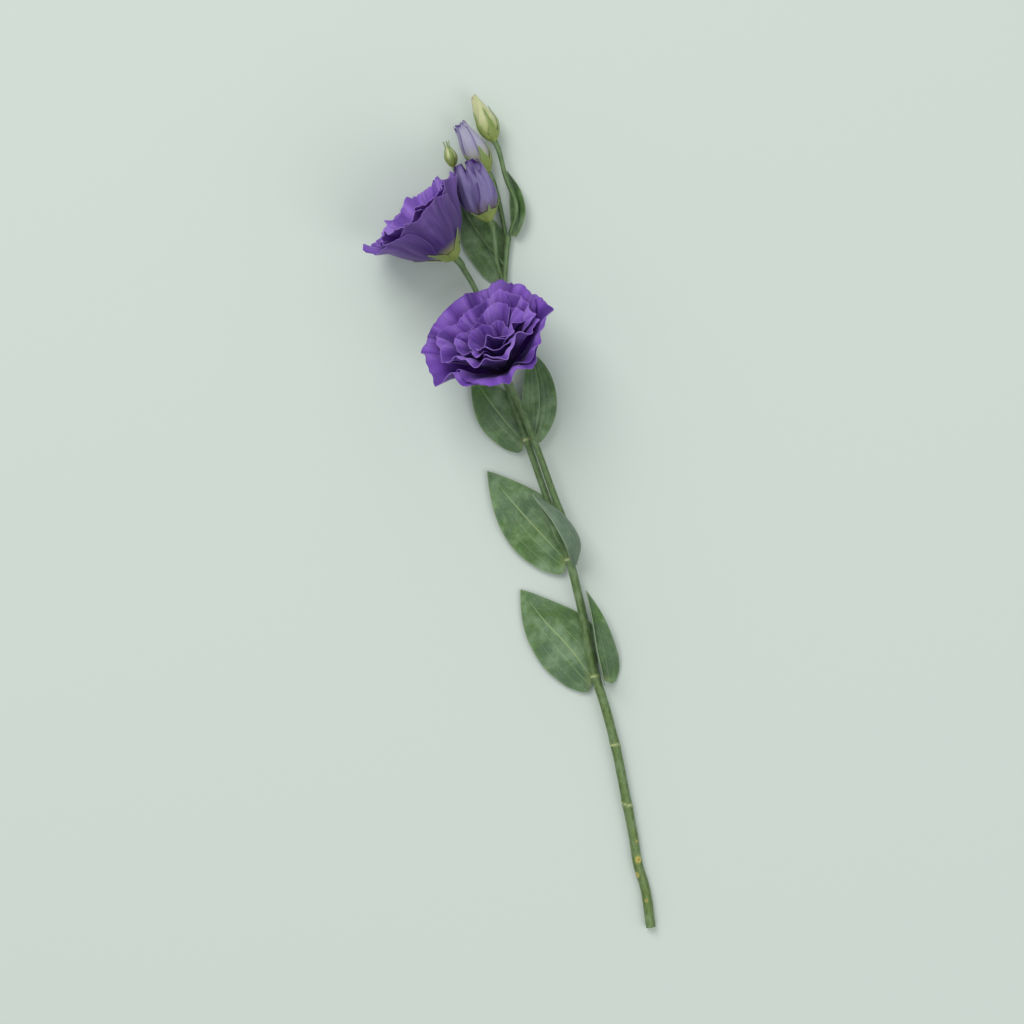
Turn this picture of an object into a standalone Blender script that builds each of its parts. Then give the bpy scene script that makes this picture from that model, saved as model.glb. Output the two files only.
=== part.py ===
"""A cut spray of double lisianthus, lying on its side.

One stem carries three pairs of clasping leaves, an open double bloom that faces up, a bloom seen
from its side, and a cluster of buds. The stem runs along Y, with its cut end at -Y; +Z is up, away
from the surface that the spray lies on. Lengths are in metres.
"""

import math

import bmesh
import bpy
import numpy as np

# ---------------------------------------------------------------- driving dimensions
MM = 0.001

SEAT_GAP = 0.3 * MM        # between pieces that grow out of one another
STALK_SEAT = 1.5           # how far under a bloom's or bud's base its stalk ends, in millimetres
STEM_SIDES = 8
STEM_STEPS = 8             # steps along a stem's curve from one ring to the next

PETAL_THICKNESS = 0.5 * MM
PETAL_COLUMNS = 7
PETAL_ROWS = 8
PETALS_IN_WHORL = 5
OVERLAP_SLOPE = 0.95 * MM  # how far a petal's edges lie outside and inside its whorl

LEAF_THICKNESS = 0.9 * MM
LEAF_EDGE_THICKNESS = 0.5 * MM
LEAF_COLUMNS = 7
LEAF_ROWS = 9

# Height and tilt of the two blooms' bases.
OPEN_BLOOM_BASE = (-4.6, 84.4, 17.0)
OPEN_BLOOM_AXIS = (-0.311, 0.621, 0.719)
SIDE_BLOOM_BASE = (-33.9, 150.6, 21.8)
SIDE_BLOOM_AXIS = (-0.668, 0.704, 0.242)

# ---------------------------------------------------------------- colours
STEM_GREEN = (0.16, 0.25, 0.07)
LEAF_GREEN = (0.14, 0.23, 0.12)
CALYX_GREEN = (0.23, 0.32, 0.07)
PETAL_VIOLET = (0.14, 0.05, 0.36)
LAVENDER = (0.36, 0.32, 0.55)
CREAM_GREEN = (0.55, 0.58, 0.27)
STIGMA_YELLOW = (0.75, 0.42, 0.05)

# ---------------------------------------------------------------- stems, in millimetres
# Each stop on a stem is x, y, z and the radius there.
MAIN_STEM = [
    (83.1, -248.4, 2.95, 2.85),
    (79.3, -223.8, 2.95, 2.85),
    (75.3, -210.6, 3.1, 2.8),
    (72.6, -193.8, 3.4, 2.8),
    (68.7, -174.0, 3.9, 2.8),
    (61.5, -138.6, 5.0, 2.7),
    (53.9, -110.7, 6.0, 2.7),
    (49.6, -97.8, 6.4, 2.7),
    (42.1, -60.6, 7.2, 2.5),
    (33.9, -27.6, 7.4, 2.5),
    (19.5, 12.0, 7.4, 2.0),
    (8.7, 43.2, 7.4, 2.0),
    (2.1, 62.4, 7.4, 1.9),
    (-4.5, 80.0, 7.6, 1.9),
    (-9.9, 104.0, 8.2, 2.2),
]
OPEN_BLOOM_STALK = [
    (37.4, -25.4, 9.8, 1.7),
    (33.4, -12.0, 11.0, 2.0),
    (25.5, 8.6, 12.0, 2.0),
    (12.9, 43.2, 12.8, 1.9),
    (3.9, 64.8, 13.0, 1.9),
    (-1.6, 76.4, 13.2, 2.0),
]
SIDE_BLOOM_STALK = [
    (-10.6, 104.9, 9.3, 1.3),
    (-17.0, 121.0, 11.0, 1.6),
    (-24.0, 136.4, 13.6, 1.6),
    (-28.6, 143.8, 17.4, 1.8),
]
BUD_STEM = [
    (-9.3, 105.3, 6.5, 1.3),
    (-6.4, 122.0, 5.4, 1.7),
    (-4.5, 139.2, 4.2, 1.7),
    (-3.6, 152.0, 3.7, 1.7),
    (-2.6, 165.0, 3.9, 2.3),
]
BUD_STALKS = {
    "purple_bud": [
        (-6.6, 140.6, 6.5, 1.1),
        (-8.8, 147.0, 8.6, 1.3),
        (-10.4, 160.8, 12.4, 1.4),
    ],
    "lavender_bud": [
        (-4.2, 167.6, 3.4, 1.2),
        (-6.0, 177.0, 3.6, 1.3),
        (-9.4, 190.8, 4.4, 1.6),
    ],
    "cream_bud": [
        (-0.6, 168.2, 4.8, 1.2),
        (2.6, 179.4, 6.8, 1.3),
        (-4.1, 200.4, 9.0, 1.3),
    ],
    "small_bud": [
        (-6.7, 150.0, 4.2, 0.9),
        (-21.0, 168.0, 5.8, 0.9),
        (-31.0, 187.0, 9.0, 0.9),
    ],
}
NODE_RINGS = [(68.7, -174.0), (61.5, -138.6), (49.6, -97.8), (33.9, -27.6), (8.7, 43.2)]
NODE_SWELLING = 0.35

# ---------------------------------------------------------------- leaves, in millimetres
# midrib: base, two points along it and tip. face: the way the upper side looks. half_width: the
# widest half, or the left and the right one. For the left and the right half each, base is its
# width where it leaves the stem, as a share of the widest; fold is how far it bends up from flat, in
# degrees; curl is how much more it bends by its margin. widest is how far up the leaf is widest, lobe
# how far its base reaches back, and taper how pointed its tip is, if not LEAF_TAPER.
LEAF_TAPER = 0.86
LEAVES = {
    "leaf_low_left": dict(
        midrib=[(47.5, -98.6, 2.7), (33.8, -80.5, 3.0), (19.0, -64.5, 3.2), (5.2, -46.6, 1.4)],
        face=(0.04, 0.0, 1.0), half_width=19.5, base=(0.66, 0.12), fold=(-4, -4), curl=(4, 2),
        widest=0.36, lobe=9.0),
    "leaf_low_right": dict(
        midrib=[(54.9, -100.4, 5.6), (50.9, -83.0, 10.0), (47.6, -63.0, 11.2), (44.2, -46.8, 10.4)],
        face=(0.0, 0.0, 1.0), half_width=13.0, base=(0.5, 0.8), fold=(82, -16), curl=(14, -14),
        widest=0.24, lobe=4.6),
    "leaf_middle_left": dict(
        midrib=[(31.6, -28.4, 3.9), (17.0, -12.6, 4.2), (0.8, 5.4, 4.8), (-14.7, 24.4, 2.4)],
        face=(0.0, 0.0, 1.0), half_width=18.5, base=(0.66, 0.12), fold=(-6, -8), curl=(6, 0),
        widest=0.36, lobe=8.0),
    "leaf_middle_right": dict(
        midrib=[(38.6, -29.6, 10.6), (40.0, -18.0, 15.5), (32.0, -4.0, 17.6), (12.4, 10.6, 16.6)],
        face=(-0.2, -0.15, 1.0), half_width=(12.0, 17.5), base=(0.3, 0.35), fold=(4, 58), curl=(10, 112),
        widest=0.38, lobe=3.0),
    "leaf_upper_left": dict(
        midrib=[(6.4, 42.2, 4.3), (-3.0, 53.0, 4.2), (-13.6, 66.4, 4.0), (-24.3, 80.6, 2.2)],
        face=(0.0, 0.0, 1.0), half_width=14.0, base=(0.66, 0.12), fold=(-4, -4), curl=(6, 0),
        widest=0.4, lobe=6.0),
    "leaf_upper_right": dict(
        midrib=[(13.2, 43.0, 8.2), (16.2, 59.0, 9.0), (15.8, 76.0, 8.4), (12.4, 93.4, 5.6)],
        face=(0.1, 0.0, 1.0), half_width=10.5, base=(0.2, 0.5), fold=(-6, 6), curl=(-6, 6),
        widest=0.46, lobe=2.0, taper=0.5),
    "leaf_under_buds": dict(
        midrib=[(-5.6, 142.4, 0.9), (-14.2, 158.0, 0.9), (-24.0, 174.0, 1.2), (-33.0, 189.4, 0.8)],
        face=(0.0, 0.0, 1.0), half_width=13.0, base=(0.74, 0.1), fold=(0, 0), curl=(4, 0),
        widest=0.4, lobe=5.0),
    "leaf_bract": dict(
        midrib=[(1.3, 165.0, 2.8), (4.5, 177.0, 3.0), (2.6, 191.0, 2.8), (-3.2, 204.4, 1.2)],
        face=(-0.35, 0.0, 1.0), half_width=5.8, base=(0.4, 0.6), fold=(24, 34), curl=(0, 0),
        widest=0.4, lobe=0.5),
}

# ---------------------------------------------------------------- blooms, in millimetres
# A whorl's profile is radius and height above the bloom's base, from the petal's foot to its rim.
# half_angle is how far a petal reaches round the axis at its foot and at its rim, in degrees.
# lengths trims each petal a little differently. flare bends the rim outwards on one side: by how
# much, towards which angle, and how widely, in degrees.
FOOT_HALF_ANGLE = 27
RIM_HALF_ANGLE = 54
OPEN_BLOOM_WHORLS = [
    dict(name="outer", petals=5, turn=12, ruffle=1.5, lengths=(1.0, 0.96, 1.0, 0.97, 0.94),
         flare=(5.0, 78, 55),
         profile=[(5.2, 2.3), (11.4, 7.5), (18.8, 14.5), (26.4, 23), (33.5, 31.5), (39, 35.5)]),
    dict(name="middle", petals=5, turn=46, ruffle=1.3, lengths=(0.97, 1.0, 0.95, 1.0, 0.96),
         flare=(-2.0, 78, 60),
         profile=[(4.3, 2.9), (8.2, 9.5), (14.0, 18), (20.0, 27), (26.5, 35.5), (31.5, 39)]),
    dict(name="inner", petals=5, turn=23, ruffle=1.0, lengths=(1.0, 0.95, 0.98, 1.0, 0.94),
         flare=(-1.0, 78, 60),
         profile=[(3.5, 3.4), (6.0, 11), (9.8, 20), (13.8, 28), (17.8, 34.5), (21.5, 38)]),
    dict(name="centre", petals=3, turn=60, ruffle=0.6, lengths=(1.0, 0.95, 0.97),
         flare=(1.0, 258, 60),
         profile=[(2.75, 3.9), (3.5, 11), (5.2, 18), (7.2, 25), (9.2, 30.5), (11.6, 34.5)]),
]
SIDE_BLOOM_WHORLS = [
    dict(name="outer", petals=5, turn=18, ruffle=1.3, lengths=(1.0, 0.97, 1.0, 0.96, 0.98),
         flare=(4.0, 0, 50),
         profile=[(5.2, 2.3), (10.5, 7.5), (17.5, 13.5), (22.5, 21), (26.5, 29.5), (33, 38)]),
    dict(name="inner", petals=5, turn=54, ruffle=1.2, lengths=(1.0, 0.96, 0.98, 1.0, 0.95),
         flare=(2.0, 0, 50),
         profile=[(4.2, 2.9), (7.4, 9.5), (12.5, 17), (17.0, 25), (21.5, 33), (26.5, 40)]),
]
TIP_DROP = 0.13            # how much shorter a petal is at its sides than along its middle

# The calyx: a cup under the petals' feet and five sepals that lie along their backs.
CALYX_FOOT = [(2.3, -1.0), (4.9, 0.3)]
CALYX_FLOOR = [(5.7, 1.5), (4.2, 2.0), (2.75, 2.9)]
CUP_HEIGHTS = (2.4, 4.6)
CALYX_THICKNESS = 0.7
SEPAL_COUNT = 5
SEPAL_SIDES = 4            # sides of the ring to a sepal
SEPAL_TOP = 15.0           # height that the sepals' tips reach beside the petals

PISTIL_PROFILE = [(1.0, 3.3), (1.7, 6.0), (1.8, 10), (1.4, 14), (0.9, 16), (0.9, 19), (2.0, 21), (1.2, 23)]

# ---------------------------------------------------------------- buds, in millimetres
# foot and tip of the furled petals, their profile (share of the length, radius), how far the furl
# twists in degrees, and how much of the bud its sepals cover.
BUDS = {
    "purple_bud": dict(
        foot=(-13.7, 173.6, 16.4), tip=(-28.7, 206.4, 21.6), twist=50, colour=PETAL_VIOLET, sepals=0.34,
        profile=[(0.0, 2.6), (0.12, 6.6), (0.3, 10.3), (0.52, 11.2), (0.78, 9.0), (1.0, 6.0)]),
    "lavender_bud": dict(
        foot=(-14.9, 203.6, 8.6), tip=(-31.9, 231.2, 12.0), twist=70, colour=LAVENDER, sepals=0.46,
        profile=[(0.0, 2.4), (0.14, 5.2), (0.34, 7.2), (0.55, 6.8), (0.8, 4.8), (1.0, 3.6)]),
    "cream_bud": dict(
        foot=(-10.8, 222.0, 9.5), tip=(-23.3, 248.4, 10.4), twist=110, colour=CREAM_GREEN, sepals=0.6,
        profile=[(0.0, 2.2), (0.14, 4.6), (0.34, 6.0), (0.56, 4.9), (0.8, 3.0), (1.0, 1.2)]),
    "small_bud": dict(
        foot=(-35.0, 206.0, 12.2), tip=(-38.6, 217.0, 12.8), twist=60, colour=CREAM_GREEN, sepals=1.3,
        profile=[(0.0, 1.2), (0.2, 2.4), (0.45, 3.2), (0.7, 2.5), (1.0, 0.9)]),
}
BUD_SEAT = 0.55 * MM        # between the furled petals and the sepals that hug them
FURL_DEPTH = 0.09          # how deep the furrows between furled petals are, as a share of the radius
BUD_SIDES = 20
BUD_ROWS = 10


# ---------------------------------------------------------------- points and curves
def unit(vector):
    """The vector at length one."""
    return vector / np.linalg.norm(vector)


def smooth_points(stops, count):
    """Points evenly spread along a smooth curve through the stops, which may be unevenly spaced."""
    stops = np.array(stops, float)
    steps = np.diff(stops, axis=0)
    lengths = np.linalg.norm(steps, axis=1)
    slopes = steps / lengths[:, None]
    tangents = [slopes[0]]
    for i in range(1, len(steps)):
        before, after = lengths[i - 1], lengths[i]
        tangents.append((slopes[i - 1] * after + slopes[i] * before) / (before + after))
    tangents.append(slopes[-1])
    fine = []
    for i, length in enumerate(lengths):
        for t in np.linspace(0, 1, 24, endpoint=False):
            rise = t * t * (3 - 2 * t)
            leave = t * (1 - t) ** 2 * length
            arrive = t * t * (t - 1) * length
            fine.append(stops[i] + steps[i] * rise + tangents[i] * leave + tangents[i + 1] * arrive)
    fine.append(stops[-1])
    fine = np.array(fine)
    walked = np.append(0, np.cumsum(np.linalg.norm(np.diff(fine, axis=0), axis=1)))
    wanted = np.linspace(0, walked[-1], count)
    return np.column_stack([np.interp(wanted, walked, fine[:, k]) for k in range(fine.shape[1])])


def read_curve(stops, share):
    """The value at a share of the way along a smooth curve through the stops."""
    curve = smooth_points(stops, 120)
    place = np.clip(share, 0, 1) * (len(curve) - 1)
    low = min(int(place), len(curve) - 2)
    return curve[low] + (curve[low + 1] - curve[low]) * (place - low)


def ease(value):
    """Smooth step from 0 to 1."""
    value = min(max(value, 0.0), 1.0)
    return value * value * (3 - 2 * value)


def frame_on(axis):
    """Two directions at right angles to the axis and to each other."""
    axis = unit(np.array(axis, float))
    helper = np.array([0.0, 0.0, 1.0]) if abs(axis[2]) < 0.95 else np.array([1.0, 0.0, 0.0])
    first = unit(np.cross(helper, axis))
    return axis, first, np.cross(axis, first)


# ---------------------------------------------------------------- objects
def clear_objects():
    """Remove whatever the scene holds."""
    for item in list(bpy.data.objects):
        bpy.data.objects.remove(item, do_unlink=True)


def make_material(name, colour, roughness):
    """A plain Principled material."""
    made = bpy.data.materials.get(name)
    if made:
        return made
    made = bpy.data.materials.new(name)
    made.use_nodes = True
    shader = made.node_tree.nodes["Principled BSDF"]
    shader.inputs["Base Color"].default_value = (*colour, 1.0)
    shader.inputs["Roughness"].default_value = roughness
    shader.inputs["Metallic"].default_value = 0.0
    return made


def add_solid(name, points, faces, material, sharp_degrees=60):
    """A closed mesh object with its faces pointing out, shaded smooth."""
    mesh = bpy.data.meshes.new(name)
    mesh.from_pydata([tuple(p) for p in points], [], faces)
    solid = bmesh.new()
    solid.from_mesh(mesh)
    bmesh.ops.recalc_face_normals(solid, faces=solid.faces)
    if solid.calc_volume(signed=True) < 0:
        bmesh.ops.reverse_faces(solid, faces=solid.faces)
    bmesh.ops.triangulate(solid, faces=[f for f in solid.faces if len(f.verts) > 3])
    solid.to_mesh(mesh)
    solid.free()
    mesh.shade_smooth()
    mesh.set_sharp_from_angle(angle=math.radians(sharp_degrees))
    mesh.materials.append(material)
    made = bpy.data.objects.new(name, mesh)
    bpy.context.collection.objects.link(made)
    return made


def sheet_solid(name, grid, thickness, material):
    """A thin closed shell round a grid of points on its middle surface.

    grid is rows by columns by 3, and thickness is a number for each grid point.
    """
    along = np.gradient(grid, axis=0)
    across = np.gradient(grid, axis=1)
    normal = np.cross(across, along)
    normal /= np.maximum(np.linalg.norm(normal, axis=2, keepdims=True), 1e-12)
    half = thickness[..., None] / 2
    upper, lower = grid + normal * half, grid - normal * half
    rows, columns = grid.shape[:2]
    points = np.vstack([upper.reshape(-1, 3), lower.reshape(-1, 3)])
    other = rows * columns
    faces = []
    for j in range(rows - 1):
        for i in range(columns - 1):
            a, b = j * columns + i, j * columns + i + 1
            c, d = b + columns, a + columns
            faces += [(a, b, c), (a, c, d)]
            faces += [(a + other, c + other, b + other), (a + other, d + other, c + other)]
    edge = [i for i in range(columns)]
    edge += [j * columns + columns - 1 for j in range(1, rows)]
    edge += [(rows - 1) * columns + i for i in range(columns - 2, -1, -1)]
    edge += [j * columns for j in range(rows - 2, 0, -1)]
    for k, here in enumerate(edge):
        after = edge[(k + 1) % len(edge)]
        faces += [(here, here + other, after + other), (here, after + other, after)]
    return add_solid(name, points, faces, material)


def stalk_to(stops, base, axis, last_radius, reach):
    """The stalk's stops, led on so that it meets the base of what it carries squarely."""
    base, axis = np.array(base), unit(np.array(axis, float))
    neck = base - axis * (STALK_SEAT + reach)
    seat = base - axis * STALK_SEAT
    return stops + [(*neck, last_radius * 0.92), (*seat, last_radius)]


def tube_solid(name, stops, material, rings):
    """A round stem through the stops, closed at both ends."""
    course = smooth_points(stops, (rings - 1) * STEM_STEPS + 1)
    tangents = np.gradient(course[:, :3], axis=0)[::STEM_STEPS]
    centres, radii = course[::STEM_STEPS, :3] * MM, course[::STEM_STEPS, 3] * MM
    for ring_x, ring_y in NODE_RINGS:
        spot = np.array([ring_x, ring_y]) * MM
        near = np.linalg.norm(centres[:, :2] - spot, axis=1)
        radii = radii + NODE_SWELLING * MM * np.exp(-(near / (3 * MM)) ** 2)
    side = np.array([0.0, 0.0, 1.0])
    points = []
    for centre, radius, tangent in zip(centres, radii, tangents):
        tangent = unit(tangent)
        side = unit(side - tangent * side.dot(tangent))
        cross = np.cross(tangent, side)
        for k in range(STEM_SIDES):
            angle = 2 * math.pi * k / STEM_SIDES
            points.append(centre + radius * (math.cos(angle) * side + math.sin(angle) * cross))
    return add_solid(name, points, ring_faces(rings, STEM_SIDES), material)


def ring_faces(rings, sides):
    """Faces of a row of rings joined in turn, with the first and the last ring filled."""
    faces = []
    for j in range(rings - 1):
        for k in range(sides):
            a, b = j * sides + k, j * sides + (k + 1) % sides
            faces += [(a, b, b + sides), (a, b + sides, a + sides)]
    faces.append(tuple(reversed(range(sides))))
    faces.append(tuple(range((rings - 1) * sides, rings * sides)))
    return faces


# ---------------------------------------------------------------- leaves
def leaf_width(share, base, widest, taper):
    """Half-width of a leaf as a share of its widest, from base (0) to tip (1)."""
    if share < widest:
        rounding = 1 - 0.2 * max(0.0, 1 - share / 0.12) ** 2
        return rounding * (base + (1 - base) * math.sin(math.pi / 2 * share / widest))
    left = (share - widest) / (1 - widest)
    return max(0.02, math.cos(math.pi / 2 * left) ** taper * (1 - 0.12 * left))


def bent_reach(distance, fold, curl):
    """How far a strip of this length reaches sideways and up, when it bends by fold and curl."""
    fold, curl = math.radians(fold), math.radians(curl)
    if abs(curl) < 1e-4:
        return distance * math.cos(fold), distance * math.sin(fold)
    scale = distance / curl
    return (scale * (math.sin(fold + curl) - math.sin(fold)),
            scale * (math.cos(fold) - math.cos(fold + curl)))


def build_leaf(name, leaf, material):
    """A stalkless ovate leaf whose base lobes reach back past the stem."""
    midrib = smooth_points(leaf["midrib"], LEAF_ROWS) * MM
    tangents = np.gradient(midrib, axis=0)
    grid = np.zeros((LEAF_ROWS, LEAF_COLUMNS, 3))
    thickness = np.zeros((LEAF_ROWS, LEAF_COLUMNS))
    for j in range(LEAF_ROWS):
        share = j / (LEAF_ROWS - 1)
        tangent = unit(tangents[j])
        face = np.array(leaf["face"])
        face = unit(face - tangent * face.dot(tangent))
        side = np.cross(tangent, face)
        for i, across in enumerate(np.linspace(-1, 1, LEAF_COLUMNS)):
            half = 1 if across > 0 else 0
            fraction = abs(across)
            base = leaf["base"][half]
            widest_half = np.broadcast_to(leaf["half_width"], 2)[half] * MM
            width = widest_half * leaf_width(share, base, leaf["widest"], leaf.get("taper", LEAF_TAPER))
            out, up = bent_reach(width * fraction, leaf["fold"][half], leaf["curl"][half] * fraction)
            back = leaf["lobe"] * MM * base * math.sin(2.45 * fraction) * (1 - share) ** 4
            point = midrib[j] + side * math.copysign(out, across) + face * up - tangent * back
            point[2] = max(point[2], LEAF_THICKNESS / 2)
            grid[j, i] = point
            thickness[j, i] = LEAF_THICKNESS + (LEAF_EDGE_THICKNESS - LEAF_THICKNESS) * fraction
    return sheet_solid(name, grid, thickness, material)


# ---------------------------------------------------------------- blooms
def petal_point(whorl, petal, across, share):
    """Angle, radius and height of a point on a petal, around its bloom's axis."""
    along = share * whorl["lengths"][petal] * (1 - TIP_DROP * abs(across) ** 3)
    middle = read_curve(whorl["profile"], along) * MM
    run = read_curve(whorl["profile"], along + 0.01) - read_curve(whorl["profile"], along - 0.01)
    outward = unit(np.array([run[1], -run[0]]))
    half_angle = FOOT_HALF_ANGLE + (RIM_HALF_ANGLE - FOOT_HALF_ANGLE) * ease(along / 0.5)
    half_angle *= PETALS_IN_WHORL / whorl["petals"]
    centre = whorl["turn"] + 360 / whorl["petals"] * petal
    angle = math.radians(centre + half_angle * across)
    ruffle = whorl["ruffle"] * MM * along ** 3 * math.sin(5 * angle + whorl["turn"])
    amount, towards, spread = whorl["flare"]
    off_flare = (math.degrees(angle) - towards + 180) % 360 - 180
    flare = amount * MM * along ** 3 * math.exp(-(off_flare / spread) ** 2)
    shift = OVERLAP_SLOPE * across * ease(along / 0.32) + ruffle + flare
    radius, height = middle + outward * shift
    return angle, radius, height


def place_on_axis(base, axis, angle, radius, height):
    """World point for an angle, radius and height around a bloom's axis."""
    axis, first, second = frame_on(axis)
    ray = math.cos(angle) * first + math.sin(angle) * second
    return np.array(base) * MM + axis * height + ray * radius


def build_petal(name, base, axis, whorl, petal, material):
    """One petal as a thin curved shell."""
    grid = np.zeros((PETAL_ROWS, PETAL_COLUMNS, 3))
    for j, share in enumerate(np.linspace(0, 1, PETAL_ROWS)):
        for i, across in enumerate(np.linspace(-1, 1, PETAL_COLUMNS)):
            grid[j, i] = place_on_axis(base, axis, *petal_point(whorl, petal, across, share))
    thickness = np.full((PETAL_ROWS, PETAL_COLUMNS), PETAL_THICKNESS)
    return sheet_solid(name, grid, thickness, material)


def build_calyx(name, base, axis, whorl, material):
    """A cup that holds the petals' feet, with five narrow sepals that lie along the petals."""
    sides = SEPAL_COUNT * SEPAL_SIDES
    rings = [[(radius * MM, height * MM)] * sides for radius, height in CALYX_FOOT]
    rings += [[cup_point(whorl, height * MM, True)] * sides for height in CUP_HEIGHTS]
    rings += [sepal_ring(whorl, share, sides, True) for share in (0.5, 1.0)]
    rings += [sepal_ring(whorl, share, sides, False) for share in (1.0, 0.5)]
    rings += [[cup_point(whorl, height * MM, False)] * sides for height in reversed(CUP_HEIGHTS)]
    rings += [[(radius * MM, height * MM)] * sides for radius, height in CALYX_FLOOR]
    points = []
    for ring in rings:
        for k, (radius, height) in enumerate(ring):
            angle = 2 * math.pi * k / sides
            points.append(place_on_axis(base, axis, angle, radius, height))
    return add_solid(name, points, ring_faces(len(rings), sides), material)


def cup_point(whorl, height, outside):
    """Radius and height of the cup's inner or outer side, clear of the petals' backs."""
    curve = smooth_points(whorl["profile"], 60) * MM
    along = float(np.interp(height, curve[:, 1], np.linspace(0, 1, len(curve))))
    radius = float(np.interp(height, curve[:, 1], curve[:, 0]))
    radius += OVERLAP_SLOPE * 1.5 * ease(along / 0.32) + 1.5 * PETAL_THICKNESS + SEAT_GAP
    if outside:
        radius += CALYX_THICKNESS * MM
    return radius, height


def sepal_ring(whorl, share, sides, outside):
    """One ring of the sepals: high where a sepal is, at the cup's rim between two sepals."""
    ring = []
    rim = CUP_HEIGHTS[-1] * MM
    for k in range(sides):
        from_middle = abs((k % SEPAL_SIDES) - SEPAL_SIDES / 2) / (SEPAL_SIDES / 2)
        lobe = max(0.0, 1 - from_middle * 1.6) ** 1.2
        height = rim + (SEPAL_TOP * MM - rim) * share * lobe + SEAT_GAP * share
        ring.append(cup_point(whorl, height, outside))
    return ring


def build_turned(name, base, axis, profile, material, sides=10):
    """A turned solid about a bloom's axis."""
    points = []
    for radius, height in profile:
        for k in range(sides):
            angle = 2 * math.pi * k / sides
            points.append(place_on_axis(base, axis, angle, radius * MM, height * MM))
    return add_solid(name, points, ring_faces(len(profile), sides), material)


def build_bloom(name, base, axis, whorls, materials):
    """Calyx, pistil and every petal of one bloom."""
    build_calyx(name + "_calyx", base, axis, whorls[0], materials["calyx"])
    build_turned(name + "_pistil", base, axis, PISTIL_PROFILE, materials["pistil"])
    for whorl in whorls:
        for petal in range(whorl["petals"]):
            petal_name = f"{name}_petal_{whorl['name']}_{petal + 1}"
            build_petal(petal_name, base, axis, whorl, petal, materials["petal"])


# ---------------------------------------------------------------- buds
def bud_radius(bud, share):
    """Radius of the bud's profile at a share of its length."""
    stops = [(place * 30, radius) for place, radius in bud["profile"]]
    curve = smooth_points(stops, 120)
    return float(np.interp(share * 30, curve[:, 0], curve[:, 1])) * MM


def furled_radius(bud, share, angle):
    """Radius of the furled petals at a share of their length, with a twisted furrow between them."""
    furrow = FURL_DEPTH * ease(share / 0.5) * math.cos(5 * (angle - math.radians(bud["twist"]) * share))
    return bud_radius(bud, share) * (1 + furrow)


def build_bud(name, bud, materials):
    """Furled petals on a calyx whose sepals hug them."""
    foot, tip = np.array(bud["foot"]), np.array(bud["tip"])
    axis = unit(tip - foot)
    length = np.linalg.norm(tip - foot) * MM
    points = []
    for share in np.linspace(0, 1, BUD_ROWS):
        for k in range(BUD_SIDES):
            angle = 2 * math.pi * k / BUD_SIDES
            radius = furled_radius(bud, share, angle)
            points.append(place_on_axis(foot, axis, angle, radius, share * length))
    colour = make_material(name + "_petals", bud["colour"], 0.55)
    add_solid(name + "_petals", points, ring_faces(BUD_ROWS, BUD_SIDES), colour)
    build_bud_calyx(name + "_calyx", bud, foot, axis, length, materials["calyx"])


def build_bud_calyx(name, bud, foot, axis, length, material):
    """A short cup and five sepals that follow the bud's outside."""
    sides = BUD_SIDES
    foot_radius = bud["profile"][0][1] * MM
    cup_share = 0.12
    rings = [[(foot_radius * 0.8, -1.2 * MM)] * sides]

    def ring_at(share_top, outward):
        ring = []
        for k in range(sides):
            lobe = max(0.0, 1 - abs((k % 4) - 2) / 2 * 1.1) ** 1.2
            share = cup_share + (bud["sepals"] - cup_share) * share_top * lobe
            radius = bud_radius(bud, min(share, 1.0)) * (1 + FURL_DEPTH) + BUD_SEAT + outward
            ring.append((radius, share * length + 0.2 * MM * share_top))
        return ring

    skin = 0.5 * MM
    shares = (0.0, 0.25, 0.5, 0.75, 1.0)
    rings += [ring_at(share, skin) for share in shares]
    rings += [ring_at(share, 0.0) for share in reversed(shares)]
    rings.append([(foot_radius + SEAT_GAP, -SEAT_GAP)] * sides)
    points = []
    for ring in rings:
        for k, (radius, height) in enumerate(ring):
            angle = 2 * math.pi * k / sides
            points.append(place_on_axis(foot, axis, angle, radius, height))
    return add_solid(name, points, ring_faces(len(rings), sides), material)


# ---------------------------------------------------------------- the spray
def build_spray():
    """Every piece of the spray."""
    materials = {
        "stem": make_material("stem_green", STEM_GREEN, 0.5),
        "leaf": make_material("leaf_green", LEAF_GREEN, 0.55),
        "calyx": make_material("calyx_green", CALYX_GREEN, 0.5),
        "petal": make_material("petal_violet", PETAL_VIOLET, 0.6),
        "pistil": make_material("stigma_yellow", STIGMA_YELLOW, 0.6),
    }
    tube_solid("main_stem", MAIN_STEM, materials["stem"], 40)
    tube_solid("bud_stem", BUD_STEM, materials["stem"], 9)
    open_stalk = stalk_to(OPEN_BLOOM_STALK, OPEN_BLOOM_BASE, OPEN_BLOOM_AXIS, 2.3, 3.4)
    tube_solid("open_bloom_stalk", open_stalk, materials["stem"], 16)
    side_stalk = stalk_to(SIDE_BLOOM_STALK, SIDE_BLOOM_BASE, SIDE_BLOOM_AXIS, 2.3, 3.4)
    tube_solid("side_bloom_stalk", side_stalk, materials["stem"], 12)
    for name, bud in BUDS.items():
        axis = np.array(bud["tip"]) - np.array(bud["foot"])
        stops = stalk_to(BUD_STALKS[name], bud["foot"], axis, bud["profile"][0][1] * 0.8, 3.0)
        tube_solid(name + "_stalk", stops, materials["stem"], 10)
    for name, leaf in LEAVES.items():
        build_leaf(name, leaf, materials["leaf"])
    build_bloom("open_bloom", OPEN_BLOOM_BASE, OPEN_BLOOM_AXIS, OPEN_BLOOM_WHORLS, materials)
    build_bloom("side_bloom", SIDE_BLOOM_BASE, SIDE_BLOOM_AXIS, SIDE_BLOOM_WHORLS, materials)
    for name, bud in BUDS.items():
        build_bud(name, bud, materials)


clear_objects()
build_spray()
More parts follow.
